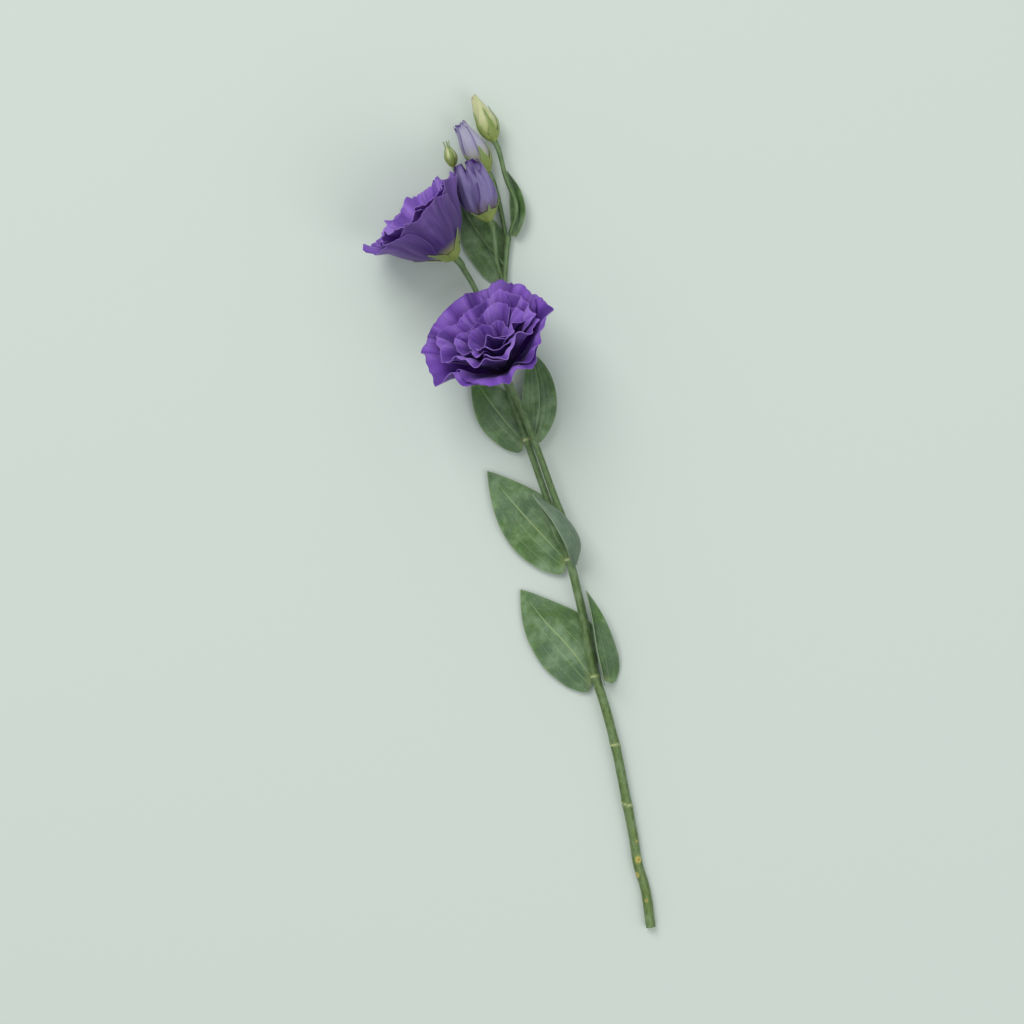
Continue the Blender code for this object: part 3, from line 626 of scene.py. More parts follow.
# %% Every petal of both blooms
def grow_bloom(name, bloom, seed):
    """Every petal of a bloom."""
    made = 0
    for order, whorl in enumerate(bloom["whorls"]):
        finish = OUTER_FINISH[name] if whorl["name"] == "outer" else ribbon_petal
        for petal in range(len(whorl["lengths"])):
            grid, valley = petal_grid(bloom, whorl, petal, seed + made, seed + 50 + order)
            grid[..., 2] = np.maximum(grid[..., 2], FLOOR_GAP * MM)
            sheet = thin_sheet(grid, PETAL_THICKNESS * MM, PETAL_MARGIN * MM, face_first=False)
            # Fold depth, from which the finish paints shade in the valleys and highlight on the ridges.
            sheet[3]["valley"] = np.tile(valley.ravel(), 2)
            lay(f"{name}_petal_{whorl['name']}_{petal + 1}", finish, sheet)
            made += 1
    return made


print("open bloom petals:", grow_bloom("open_bloom", OPEN_BLOOM, 100))
print("side bloom petals:", grow_bloom("side_bloom", SIDE_BLOOM, 300))

# %% [markdown]
# ## The stems' finish
#
# A fresh stem is bright green near its cut and turns grey-green higher up, where a waxy bloom
# covers it. It has faint lengthwise streaks, a pale line at each node, and round yellowish scars
# with a brown middle where leaves and side shoots were stripped off.

# %% Stem finish
def stem_finish():
    """Waxy streaked green with pale nodes and brown-hearted scars."""
    r = Recipe("fresh_stem")
    along = r.split(r.spot())["Y"]
    height = r.node("MapRange", {"Value": along, "From Min": -0.25, "From Max": 0.02}).outputs["Result"]
    streak = r.noise(r.grown(12, 26), 1.0, 5, 0.65, 0.2)
    blotch = r.noise(r.spot(), 130.0, 4, 0.55)
    ground = r.mix(height, (0.120, 0.190, 0.036), (0.085, 0.158, 0.062))
    green = r.layer(ground, (0.25, 0.34, 0.13), streak, (0.42, 0.0), (0.66, 0.7))
    shaded = r.layer(green, (0.045, 0.095, 0.025), streak, (0.34, 0.6), (0.48, 0.0))
    # Painted shade in the four furrows between the stem's ribs.
    groove_shade_painted = r.mix(r.times(r.fact("groove"), 0.5), shaded, (0.050, 0.105, 0.028))
    waxy = r.layer(groove_shade_painted, (0.23, 0.33, 0.19), blotch, (0.46, 0.0), (0.72, 0.5))
    noded = r.mix(r.times(r.fact("ring"), 0.9), waxy, (0.52, 0.58, 0.27))
    scarred = r.mix(r.fact("scar"), noded, (0.66, 0.56, 0.13))
    hearted = r.mix(r.fact("heart"), scarred, (0.16, 0.085, 0.03))
    colour = r.mix(r.fact("cut"), hearted, (0.48, 0.55, 0.26))
    ribs = r.noise(r.grown(14, 30), 1.0, 4, 0.6)
    normal = r.bump(blotch, 0.15, 0.0004, r.bump(ribs, 0.4, 0.0004))
    rough = r.ramp(blotch, (0.3, 0.40), (0.7, 0.58))
    return r.dress(colour, rough, normal, 0.4, 0.12, 0.0015, (0.5, 1.0, 0.25))


fresh_stem = stem_finish()
print("stem finish:", fresh_stem.name, "with", len(fresh_stem.node_tree.nodes), "nodes")

# %% [markdown]
# ## Stems and stalks
#
# A stem is a tube swept along its curve. Lisianthus stems aren't quite round: four faint ribs run
# down them, each node swells and carries a fine raised line, and a stripped leaf leaves a small
# oval scar. All of that is a matter of changing the tube's radius from place to place.

# %% Stem courses, in millimetres: x, y, z and radius
MAIN_STEM = [
    (83.1, -248.4, 2.95, 2.85), (79.3, -223.8, 2.95, 2.85), (75.3, -210.6, 3.1, 2.8),
    (72.6, -193.8, 3.4, 2.8), (68.7, -174.0, 3.9, 2.8), (61.5, -138.6, 5.0, 2.7),
    (53.9, -110.7, 6.0, 2.7), (49.6, -97.8, 6.4, 2.7), (42.1, -60.6, 7.2, 2.5),
    (33.9, -27.6, 7.4, 2.5), (19.5, 12.0, 7.4, 2.0), (8.7, 43.2, 7.4, 2.0),
    (2.1, 62.4, 7.4, 1.9), (-4.5, 80.0, 7.6, 1.9), (-9.9, 104.0, 8.2, 2.2),
]
OPEN_BLOOM_STALK = [
    (37.4, -25.4, 9.8, 1.7), (33.4, -12.0, 11.0, 2.0), (25.5, 8.6, 12.0, 2.0),
    (12.9, 43.2, 12.8, 1.9), (3.9, 64.8, 13.0, 1.9), (-1.6, 76.4, 13.2, 2.0),
]
SIDE_BLOOM_STALK = [
    (-10.6, 104.9, 9.3, 1.3), (-17.0, 121.0, 11.0, 1.6), (-24.0, 136.4, 13.6, 1.6),
    (-28.6, 143.8, 17.4, 1.8),
]
BUD_STEM = [
    (-9.3, 105.3, 6.5, 1.3), (-6.4, 122.0, 5.4, 1.7), (-4.5, 139.2, 4.2, 1.7),
    (-3.6, 152.0, 3.7, 1.7), (-2.6, 165.0, 3.9, 2.3),
]
BUD_STALKS = {
    "purple_bud": [(-6.6, 140.6, 6.5, 1.1), (-8.8, 147.0, 8.6, 1.3), (-10.4, 160.8, 12.4, 1.4)],
    "lavender_bud": [(-4.2, 167.6, 3.4, 1.2), (-6.0, 177.0, 3.6, 1.3), (-9.4, 190.8, 4.4, 1.6)],
    "cream_bud": [(-0.6, 168.2, 4.8, 1.2), (2.6, 179.4, 6.8, 1.3), (-4.1, 200.4, 9.0, 1.3)],
    "small_bud": [(-6.7, 150.0, 4.2, 0.9), (-21.0, 168.0, 5.8, 0.9), (-31.0, 187.0, 9.0, 0.9)],
}
# Nodes: x, y, and how much the raised line across the stem leans.
NODES = [(68.7, -174.0, 1.5), (61.5, -138.6, 0.5), (49.6, -97.8, 0.5), (33.9, -27.6, 0.4),
         (8.7, 43.2, 0.4)]
# Scars: x, y, how far round the stem from its top, in degrees, and size.
SCARS = [(74.6, -207.5, 18, 2.1), (76.9, -216.0, -52, 1.5), (73.0, -196.5, 35, 0.8),
         (80.6, -232.0, -15, 1.0)]
print("the main stem runs through", len(MAIN_STEM), "stops, with", len(SCARS), "scars")


# %% Tubes and their ends
STEM_SIDES = 28
STEM_LOWEST = 0.07
# How an end closes: each ring's share of the rim, and how far it sinks, or bulges if negative.
CUT_END = [(0.82, 0.02), (0.45, 0.1), (0.2, 0.3)]
ROUND_END = [(0.82, -0.3), (0.45, -0.6), (0.2, -0.7)]


def swept(centres, tangents, radius, around):
    """Points of a tube whose rings stand square on its course and never twist."""
    side = np.array([0.0, 0.0, 1.0])
    points = []
    for k, tangent in enumerate(tangents):
        side = unit(side - tangent * side.dot(tangent))
        ray = np.outer(np.cos(around), side) + np.outer(np.sin(around), np.cross(tangent, side))
        points.append(centres[k] + radius[k][:, None] * ray)
    points = np.vstack(points)
    points[:, 2] = np.maximum(points[:, 2], STEM_LOWEST)
    return points


def end_faces(rim_start, cap_start, steps):
    """Faces from a tube's rim over the rings of its end, and the last small disc."""
    faces = []
    outer = rim_start + np.arange(STEM_SIDES)
    for k in range(steps):
        inner = cap_start + k * STEM_SIDES + np.arange(STEM_SIDES)
        faces += np.column_stack([outer, np.roll(outer, -1), np.roll(inner, -1), inner]).tolist()
        outer = inner
    faces.append(outer.tolist())
    return faces if rim_start else [face[::-1] for face in faces]


def close_ends(points, uv, facts, tangents, cut):
    """The tube with both ends closed, as points, faces, map and facts."""
    faces = ring_faces(len(tangents), STEM_SIDES)
    for rim_start, tangent in ((0, -tangents[0]), (len(points) - STEM_SIDES, tangents[-1])):
        cut_here = cut and rim_start == 0
        steps = CUT_END if cut_here else ROUND_END
        rim = slice(rim_start, rim_start + STEM_SIDES)
        centre = points[rim].mean(axis=0)
        faces += end_faces(rim_start, len(points), len(steps))
        cap = [centre + (points[rim] - centre) * share - tangent * sink for share, sink in steps]
        points = np.vstack([points, *cap])
        uv = np.vstack([uv] + [uv[rim]] * len(steps))
        for fact in facts:
            filled = float(cut_here and fact == "cut")
            facts[fact] = np.append(facts[fact], np.full(len(steps) * STEM_SIDES, filled))
    return points * MM, faces, uv, facts


# %% One stem
RING_GAP = 1.1
ROOT_LENGTH = 2.2
PASSING = 2.0
STALK_SEAT = 1.5


def stem_tube(stops, seed, cut=False):
    """Points, faces, map and facts of a ribbed stem with nodes and scars."""
    rng = np.random.default_rng(seed)
    stops = np.array(stops, float)
    if not cut:
        first_step = stops[0] - stops[1]
        stops = np.vstack([stops[0] + first_step * ROOT_LENGTH / np.linalg.norm(first_step[:3]), stops])
    length = np.linalg.norm(np.diff(stops[:, :3], axis=0), axis=1).sum()
    rings = int(length / RING_GAP) + 2
    course = smooth_points(stops, rings)
    centres, radii = course[:, :3], course[:, 3:]
    walked = np.linspace(0, length, rings)[:, None]
    around = np.linspace(0, 2 * math.pi, STEM_SIDES, endpoint=False)
    radius = radii * (1 + 0.022 * np.cos(4 * around) + 0.012 * waves(walked, rng, 0.05, 0.3, 4))
    ring, scar, heart = (np.zeros((rings, STEM_SIDES)) for _ in range(3))

    def runs_from(x, y):
        """How far along the stem each ring lies from a place, or None if it passes elsewhere."""
        apart = np.linalg.norm(centres[:, :2] - (x, y), axis=1)
        return walked - walked[apart.argmin()] if apart.min() < PASSING else None

    for x, y, lean in NODES:
        run = runs_from(x, y)
        if run is not None:
            slant = run + lean * np.sin(around + 0.5)
            radius += 0.30 * np.exp(-(slant / 3.2) ** 2) + 0.16 * np.exp(-(slant / 0.6) ** 2)
            ring = np.maximum(ring, np.exp(-(slant / 0.55) ** 2))
    for x, y, round_from_top, size in SCARS:
        run = runs_from(x, y)
        if run is not None:
            gap = np.hypot(run, np.radians(away(around, round_from_top)) * radii)
            radius += 0.42 * np.exp(-(gap / size) ** 4) - 0.34 * np.exp(-(gap / (0.45 * size)) ** 2)
            scar = np.maximum(scar, np.exp(-(gap / (0.95 * size)) ** 4))
            heart = np.maximum(heart, np.exp(-(gap / (0.42 * size)) ** 2))
    tangents = [unit(tangent) for tangent in np.gradient(centres, axis=0)]
    uv = np.column_stack([np.tile(around / (2 * math.pi), rings), np.repeat(walked / 100, STEM_SIDES)])
    # groove marks the furrows between the four ribs, where the finish paints shade.
    facts = {"ring": ring.ravel(), "scar": scar.ravel(), "heart": heart.ravel(),
             "groove": np.tile(0.5 - 0.5 * np.cos(4 * around), rings), "cut": np.zeros(ring.size)}
    return close_ends(swept(centres, tangents, radius, around), uv, facts, tangents, cut)


def stalk_to(stops, base, axis, last_radius, reach):
    """The stalk's stops, led on so that it meets what it carries squarely."""
    base, axis = np.array(base), unit(np.array(axis, float))
    neck, seat = base - axis * (STALK_SEAT + reach), base - axis * STALK_SEAT
    return stops + [(*neck, last_radius * 0.92), (*seat, last_radius)]


# %% [markdown]
# ## Buds
#
# In a bud the petals are furled: each is wrapped round the next like the cloth of a closed
# umbrella, with a twist. The same pinwheel trick as in the bloom gives that furl, on a profile
# that closes at the top, and turning each petal's upper end a little further round gives the twist.

# %% Buds, in millimetres
# foot and tip: where the furled petals begin and end. twist: degrees that they turn on the way.
# teeth and folds: how ragged and how creased they are. margin: width of their dusky edge. sepals
# and sepal_width: the sepals' length and half-width as shares of the bud's. profile: share of the
# length, and radius there.
BUDS = {
    "purple_bud": dict(
        slot="petal", foot=(-13.7, 173.6, 16.4), tip=(-28.7, 206.4, 21.6), twist=50,
        teeth=0.105, folds=0.044, margin=2.6, sepals=0.22, sepal_width=0.18,
        profile=[(0.0, 2.6), (0.12, 6.6), (0.3, 10.3), (0.52, 11.2), (0.78, 9.0), (1.0, 6.0)]),
    "lavender_bud": dict(
        slot="bud_lavender", foot=(-14.9, 203.6, 8.6), tip=(-31.9, 231.2, 12.0), twist=70,
        teeth=0.03, folds=0.022, margin=1.2, sepals=0.46, sepal_width=0.44,
        profile=[(0.0, 2.4), (0.14, 5.2), (0.34, 7.2), (0.55, 6.8), (0.8, 4.8), (1.0, 3.6)]),
    "cream_bud": dict(
        slot="bud_cream", foot=(-10.8, 222.0, 9.5), tip=(-23.3, 248.4, 10.4), twist=110,
        teeth=0.012, folds=0.016, margin=0.5, sepals=0.66, sepal_width=0.34,
        profile=[(0.0, 2.2), (0.14, 4.6), (0.34, 6.0), (0.56, 4.9), (0.8, 3.0), (1.0, 1.2)]),
    "small_bud": dict(
        slot="bud_cream", foot=(-35.0, 206.0, 12.2), tip=(-38.6, 217.0, 12.8), twist=60,
        teeth=0.0, folds=0.010, margin=0.4, sepals=1.3, sepal_width=0.42,
        profile=[(0.0, 1.2), (0.2, 2.4), (0.45, 3.2), (0.7, 2.5), (1.0, 0.9)]),
}
print("buds:", list(BUDS))


# %% Grow the stems
def grow_stem(name, stops, seed, cut=False):
    """A stem or stalk in the place of its plain node."""
    lay(name, fresh_stem, stem_tube(stops, seed, cut), sharp=50)


grow_stem("main_stem", MAIN_STEM, 11, cut=True)
grow_stem("bud_stem", BUD_STEM, 12)
for name, stops, bloom in (("open_bloom", OPEN_BLOOM_STALK, OPEN_BLOOM),
                           ("side_bloom", SIDE_BLOOM_STALK, SIDE_BLOOM)):
    grow_stem(name + "_stalk", stalk_to(stops, bloom["base"], bloom["axis"], 2.3, 3.4), 13)
for name, bud in BUDS.items():
    bud_axis = np.subtract(bud["tip"], bud["foot"])
    stops = stalk_to(BUD_STALKS[name], bud["foot"], bud_axis, bud["profile"][0][1] * 0.8, 3.0)
    grow_stem(name + "_stalk", stops, 14)
print("stems and stalks grown:", 4 + len(BUDS))

# %% [markdown]
# ## The leaves' finish
#
# Lisianthus leaves are glaucous: a waxy grey film lies over fresh green, and where it is thin the
# green shows through in cloudy patches. A pale midrib runs to the tip, two fainter veins on each
# side leave the base and bow back to the tip, and the margin is a fine pale line.

# %% Leaf finish
def leaf_finish():
    """Grey wax over mottled green, with bowed veins."""
    r = Recipe("glaucous_leaf")
    place = r.split(r.grown())
    side = r.times(r.math("ABSOLUTE", r.math("SUBTRACT", place["X"], 0.5)), 2.0)
    cloud = r.noise(r.spot(), 42.0, 5, 0.58, 0.3)
    fine = r.noise(r.spot(), 260.0, 4, 0.6)
    smoke = r.noise(r.spot(), 75.0, 5, 0.6, 0.4)
    wax = r.layer((0.152, 0.245, 0.130), (0.070, 0.168, 0.022), cloud, (0.42, 0.0), (0.60, 0.95))
    smoked = r.layer(wax, (0.062, 0.122, 0.055), smoke, (0.38, 0.75), (0.54, 0.0))
    paled = r.layer(smoked, (0.245, 0.365, 0.205), smoke, (0.50, 0.0), (0.68, 0.75))
    face = r.layer(paled, (0.075, 0.14, 0.07), fine, (0.36, 0.30), (0.62, 0.0))
    back = r.layer((0.120, 0.185, 0.122), (0.082, 0.135, 0.088), fine, (0.3, 0.0), (0.7, 0.6))
    blade = r.mix(r.fact("upper"), back, face)

    def line(distance, width, strength, blend="SMOOTHSTEP"):
        """A line that fades out at its width."""
        fade = {"Value": distance, "From Min": 0.0, "From Max": width, "To Min": strength, "To Max": 0.0}
        return r.node("MapRange", fade, interpolation_type=blend).outputs["Result"]

    def vein(centre, width, strength):
        """A line along the leaf at a share of its half-width."""
        return line(r.math("ABSOLUTE", r.math("SUBTRACT", side, centre)), width, strength)

    bowed = r.math("MAXIMUM", vein(0.3, 0.028, 0.42), vein(0.62, 0.022, 0.3))
    fading = r.times(bowed, r.ramp(place["Y"], (0.35, 1.0), (0.8, 0.0)))
    net = r.node("TexVoronoi", {"Vector": r.grown(7, 9), "Scale": 1.0}, feature="DISTANCE_TO_EDGE")
    netted = line(net.outputs["Distance"], 0.05, 0.14, "LINEAR")
    veins = r.math("MAXIMUM", r.math("MAXIMUM", vein(0.0, 0.055, 0.85), fading), netted)
    veined = r.mix(veins, blade, (0.33, 0.44, 0.20))
    foot = r.times(r.ramp(place["Y"], (0.0, 0.6), (0.08, 0.0)), r.ramp(side, (0.1, 1.0), (0.6, 0.0)))
    based = r.mix(foot, veined, (0.34, 0.44, 0.17))
    colour = r.mix(r.times(r.fact("margin"), 0.6), based, (0.36, 0.45, 0.28))
    normal = r.bump(fine, 0.10, 0.0004, r.bump(veins, -0.35, 0.0005, r.bump(cloud, 0.25, 0.0016)))
    rough = r.ramp(cloud, (0.35, 0.58), (0.65, 0.46))
    return r.dress(colour, rough, normal, 0.38, 0.10, 0.0012, (0.4, 1.0, 0.2), sheen=0.10)


glaucous_leaf = leaf_finish()
print("leaf finish:", glaucous_leaf.name, "with", len(glaucous_leaf.node_tree.nodes), "nodes")

# %% [markdown]
# ## Leaves
#
# A leaf is a sheet on its midrib. Its halves widen to an egg shape, fold up or down from the
# midrib and curl towards the margin; its base reaches back past the stem in two rounded lobes.
# The real leaves sit in opposite pairs with no stalk of their own.

# %% Leaf shapes, in millimetres and degrees
# Pairs are for the left and right half. face: the way the blade looks. base: its half-width at the
# stem as a share of the widest. fold and curl: how steeply a half leaves the midrib, and how far
# it bends on from there. widest: where, as a share of its length. lobe: how far the base reaches
# back past the stem. taper: how blunt the tip is, LEAF_TAPER if not given.
LEAVES = {
    "leaf_low_left": dict(
        midrib=[(47.5, -98.6, 2.7), (33.8, -80.5, 3.0), (19.0, -64.5, 3.2), (5.2, -46.6, 1.4)],
        face=(0.04, 0.0, 1.0), half_width=19.5, base=(0.66, 0.12), fold=(-4, -4), curl=(4, 2),
        widest=0.36, lobe=9.0),
    "leaf_low_right": dict(
        midrib=[(54.9, -100.4, 5.6), (50.9, -83.0, 10.0), (47.6, -63.0, 11.2), (44.2, -46.8, 10.4)],
        face=(0.0, 0.0, 1.0), half_width=13.0, base=(0.5, 0.8), fold=(82, -16), curl=(14, -14),
        widest=0.24, lobe=4.6),
    "leaf_middle_left": dict(
        midrib=[(31.6, -28.4, 3.9), (17.0, -12.6, 4.2), (0.8, 5.4, 4.8), (-14.7, 24.4, 2.4)],
        face=(0.0, 0.0, 1.0), half_width=18.5, base=(0.66, 0.12), fold=(-6, -8), curl=(6, 0),
        widest=0.36, lobe=8.0),
    "leaf_middle_right": dict(
        midrib=[(38.6, -29.6, 10.6), (40.0, -18.0, 15.5), (32.0, -4.0, 17.6), (12.4, 10.6, 16.6)],
        face=(-0.2, -0.15, 1.0), half_width=(12.0, 17.5), base=(0.3, 0.35), fold=(4, 58), curl=(10, 112),
        widest=0.38, lobe=3.0),
    "leaf_upper_left": dict(
        midrib=[(6.4, 42.2, 4.3), (-3.0, 53.0, 4.2), (-13.6, 66.4, 4.0), (-24.3, 80.6, 2.2)],
        face=(0.0, 0.0, 1.0), half_width=14.0, base=(0.66, 0.12), fold=(-4, -4), curl=(6, 0),
        widest=0.4, lobe=6.0),
    "leaf_upper_right": dict(
        midrib=[(13.2, 43.0, 8.2), (16.2, 59.0, 9.0), (15.8, 76.0, 8.4), (12.4, 93.4, 5.6)],
        face=(0.1, 0.0, 1.0), half_width=10.5, base=(0.2, 0.5), fold=(-6, 6), curl=(-6, 6),
        widest=0.46, lobe=2.0, taper=0.5),
    "leaf_under_buds": dict(
        midrib=[(-5.6, 142.4, 0.9), (-14.2, 158.0, 0.9), (-24.0, 174.0, 1.2), (-33.0, 189.4, 0.8)],
        face=(0.0, 0.0, 1.0), half_width=13.0, base=(0.74, 0.1), fold=(0, 0), curl=(4, 0),
        widest=0.4, lobe=5.0),
    "leaf_bract": dict(
        midrib=[(1.3, 165.0, 2.8), (4.5, 177.0, 3.0), (2.6, 191.0, 2.8), (-3.2, 204.4, 1.2)],
        face=(-0.35, 0.0, 1.0), half_width=5.8, base=(0.4, 0.6), fold=(24, 34), curl=(0, 0),
        widest=0.4, lobe=0.5),
}
LEAF_TAPER = 0.86
print("leaves:", list(LEAVES))


# %% How wide a leaf is, and how its halves bend
STRAIGHT = 1e-4


def leaf_width(share, base, widest, taper):
    """Half-width as a share of the widest, from base to tip."""
    if share < widest:
        rounding = 1 - 0.2 * max(0.0, 1 - share / 0.12) ** 2
        return rounding * (base + (1 - base) * math.sin(math.pi / 2 * share / widest))
    left = (share - widest) / (1 - widest)
    return max(0.006, math.cos(math.pi / 2 * left) ** taper * (1 - 0.12 * left))


def bent_reach(distance, fold, curl):
    """How far a strip reaches sideways and up when it bends by fold and curl."""
    fold, curl = math.radians(fold), np.radians(curl)
    flat = np.abs(curl) < STRAIGHT
    safe = np.where(flat, 1.0, curl)
    out = np.where(flat, math.cos(fold), (np.sin(fold + safe) - math.sin(fold)) / safe)
    up = np.where(flat, math.sin(fold), (math.cos(fold) - np.cos(fold + safe)) / safe)
    return distance * out, distance * up


# %% One leaf
LEAF_ROWS = 84
LEAF_COLUMNS = 51
LEAF_MIDDLE = 0.8
LEAF_EDGE = 0.35
LEAF_MARGIN = 0.35
MIDRIB_GROOVE = 0.38


def leaf_grid(leaf, seed):
    """Middle surface of a leaf, in metres, and its thickness there."""
    rng = np.random.default_rng(seed)
    midrib = smooth_points(leaf["midrib"], LEAF_ROWS)
    tangents = np.gradient(midrib, axis=0)
    across = np.linspace(-1, 1, LEAF_COLUMNS)
    phases = [rng.uniform(0, 2 * math.pi, 3) for _ in range(2)]
    half_widths = np.broadcast_to(leaf["half_width"], 2)
    grid = np.zeros((LEAF_ROWS, LEAF_COLUMNS, 3))
    for j, share in enumerate(np.linspace(0, 1, LEAF_ROWS)):
        tangent = unit(tangents[j])
        face = np.array(leaf["face"])
        face = unit(face - tangent * face.dot(tangent))
        side = np.cross(tangent, face)
        for half, sign, chosen in ((0, -1, across < 0), (1, 1, across >= 0)):
            base = leaf["base"][half]
            part = np.abs(across[chosen])
            width = half_widths[half] * part * leaf_width(share, base, leaf["widest"],
                                                          leaf.get("taper", LEAF_TAPER))
            out, up = bent_reach(width, leaf["fold"][half], leaf["curl"][half] * part)
            swell = np.sin(9 * share + phases[half][0]) + 0.5 * np.sin(17 * share + phases[half][1])
            up += 0.42 * swell * part ** 2 * ease(share / 0.2)
            up -= 0.12 * np.cos(2 * math.pi * part / 0.32) * (1 - part) * ease(share / 0.15)
            up -= MIDRIB_GROOVE * np.exp(-(width / 0.7) ** 2)
            back = leaf["lobe"] * base * np.sin(2.45 * part) * (1 - share) ** 4
            grid[j, chosen] = (midrib[j] + np.outer(out * sign, side) + np.outer(up, face)
                               - np.outer(back, tangent))
    grid[..., 2] = np.maximum(grid[..., 2], LEAF_MIDDLE / 2)
    thickness = LEAF_MIDDLE + (LEAF_EDGE - LEAF_MIDDLE) * np.abs(across)
    return grid * MM, thickness * MM


for order, (name, leaf) in enumerate(LEAVES.items()):
    lay(name, glaucous_leaf, thin_sheet(*leaf_grid(leaf, 40 + order), LEAF_MARGIN * MM))
print("leaves grown:", len(LEAVES))

# %% [markdown]
# ## Calyxes
#
# The calyx is the green cup that the petals stand in, with five narrow sepals that lie against
# their backs and end in a thread. The cup is a turned shape; each sepal is a thin sheet that
# follows the petals' profile a little outside it.

# %% Calyx finish
def calyx_finish():
    """Yellow-green at the foot, grey-green up the sepals, and painted violet-dark shade inside the bloom.
    """
    r = Recipe("sepal_green")
    grain = r.noise(r.grown(8, 2), 1.0, 4, 0.6)
    spot = r.noise(r.spot(), 300.0, 3)
    ground = r.mix(r.split(r.grown())["Y"], (0.30, 0.36, 0.075), (0.16, 0.25, 0.09))
    grained = r.layer(ground, (0.115, 0.205, 0.055), grain, (0.35, 0.0), (0.65, 0.5))
    rimmed = r.mix(r.times(r.fact("margin"), 0.5), grained, (0.42, 0.50, 0.22))
    # Painted shade: the cup's inside, deep in the bloom, is painted dark violet.
    colour = r.mix(r.fact("inside"), rimmed, (0.030, 0.010, 0.080))
    normal = r.bump(spot, 0.12, 0.0003, r.bump(grain, 0.4, 0.0004))
    rough = r.ramp(spot, (0.3, 0.44), (0.7, 0.56))
    return r.dress(colour, rough, normal, 0.4, 0.12, 0.0012, (0.5, 1.0, 0.2))


sepal_green = calyx_finish()
print("calyx finish:", sepal_green.name)

# %% Turned cups, and sepals
SEPAL_THICKNESS = 0.4
SEPAL_MARGIN = 0.3
SEPALS = 5


def turned(base, axis, outline, sides, ripple=0.0):
    """A closed turned shape about an axis; its outline of radii and heights runs from end to end."""
    radii, heights = np.array(outline, float).T[..., None]
    rings = len(outline)
    angle = np.tile(np.linspace(0, 2 * math.pi, sides, endpoint=False), (rings, 1))
    radius = radii * (1 + ripple * np.cos(5 * angle))
    points = on_axis(base, axis, angle, radius, heights).reshape(-1, 3)
    ends = [list(range(sides))[::-1], list(range((rings - 1) * sides, rings * sides))]
    uv = np.column_stack([angle.ravel() / (2 * math.pi), np.repeat(np.linspace(0, 0.3, rings), sides)])
    facts = {"margin": np.zeros(len(points)), "upper": np.ones(len(points))}
    return points, ring_faces(rings, sides) + ends, uv, facts


def sepal(base, axis, centre, radius_at, low, high, half_width, seed):
    """A narrow sheet that follows radius_at(height) from low to high."""
    rng = np.random.default_rng(seed)
    share, across = sheet_map(40, 9)
    height = low + (high - low) * share
    keel = 0.45 * (1 - np.abs(across)) * (1 - share * 0.7)
    lift = 0.7 * ease((share - 0.7) / 0.3) * rng.uniform(0.0, 1.0)
    radius = radius_at(height) + keel + lift
    width = half_width * (1 - share) ** 0.75 * (0.75 + 0.5 * np.sin(math.pi * np.clip(share * 1.6, 0, 1)))
    lean = rng.uniform(-0.05, 0.05)
    angle = centre + lean * share + across * (width + 0.12) / radius
    grid = on_axis(base, axis, angle, radius, height)
    return thin_sheet(grid, SEPAL_THICKNESS * MM, SEPAL_MARGIN * MM)


# %% Calyxes of the blooms
CUP_SIDES = 30
CUP_RIM = 8


def grow_calyx(name, bloom, seed):
    """Cup and sepals under a bloom; the inside of the cup is marked, to be painted dark as shade."""
    profile = smooth_points(bloom["whorls"][0]["profile"], 120)

    def backs(height):
        """Radius just outside the petals' backs."""
        along = np.interp(height, profile[:, 1], np.linspace(0, 1, len(profile)))
        bare = np.interp(height, profile[:, 1], profile[:, 0])
        return bare + OVERLAP_SLOPE * 1.25 * ease(along / 0.32) + 0.75

    cup = [(2.3, -1.35), (2.6, -0.8), (3.9, -0.2), (5.3, 0.7), (6.3, 2.0), (backs(3.6) + 0.3, 3.6),
           (backs(4.8) + 0.1, 4.8), (backs(4.8) - 0.3, 4.8), (backs(3.4) - 0.35, 3.4), (5.8, 2.0),
           (5.2, 1.6), (2.9, 2.6)]
    parts = [turned(bloom["base"], bloom["axis"], cup, CUP_SIDES, ripple=0.02)]
    for k in range(SEPALS):
        centre = math.radians(bloom["whorls"][0]["turn"] + 36 + 360 / SEPALS * k)
        parts.append(sepal(bloom["base"], bloom["axis"], centre, backs, 2.6, 14.0, 2.2, seed + k))
    for part in parts:
        part[3]["inside"] = np.zeros(len(part[0]))
    # The cup's inner rings take the painted shade.
    parts[0][3]["inside"][CUP_RIM * CUP_SIDES:] = 1.0
    lay(name + "_calyx", sepal_green, join_parts(parts))


grow_calyx("open_bloom", OPEN_BLOOM, 500)
grow_calyx("side_bloom", SIDE_BLOOM, 510)
print("calyxes grown, with sepals each:", SEPALS)

# %% [markdown]
# ## Pistils
#
# In the middle of the bloom stands the pistil: a green ovary, a short style, and a stigma of two
# broad velvety lobes. Round it stand thin stamens with yellow anthers.

# %% Pistil finish
def pistil_finish():
    """Green ovary that turns orange-yellow at the stigma."""
    r = Recipe("stigma_gold")
    velvet = r.noise(r.spot(), 1400.0, 3)
    up = r.split(r.grown())["Y"]
    ground = r.ramp(up, (0.35, (0.24, 0.34, 0.08)), (0.7, (0.78, 0.40, 0.03)))
    colour = r.mix(r.times(velvet, 0.4), ground, (0.85, 0.62, 0.12))
    r.feed(r.shader, {"Base Color": colour, "Roughness": r.ramp(velvet, (0.3, 0.6), (0.7, 0.8)),
                      "Normal": r.bump(velvet, 0.5, 0.0003), "Sheen Weight": 0.2})
    return r.material


stigma_gold = pistil_finish()
print("pistil finish:", stigma_gold.name)

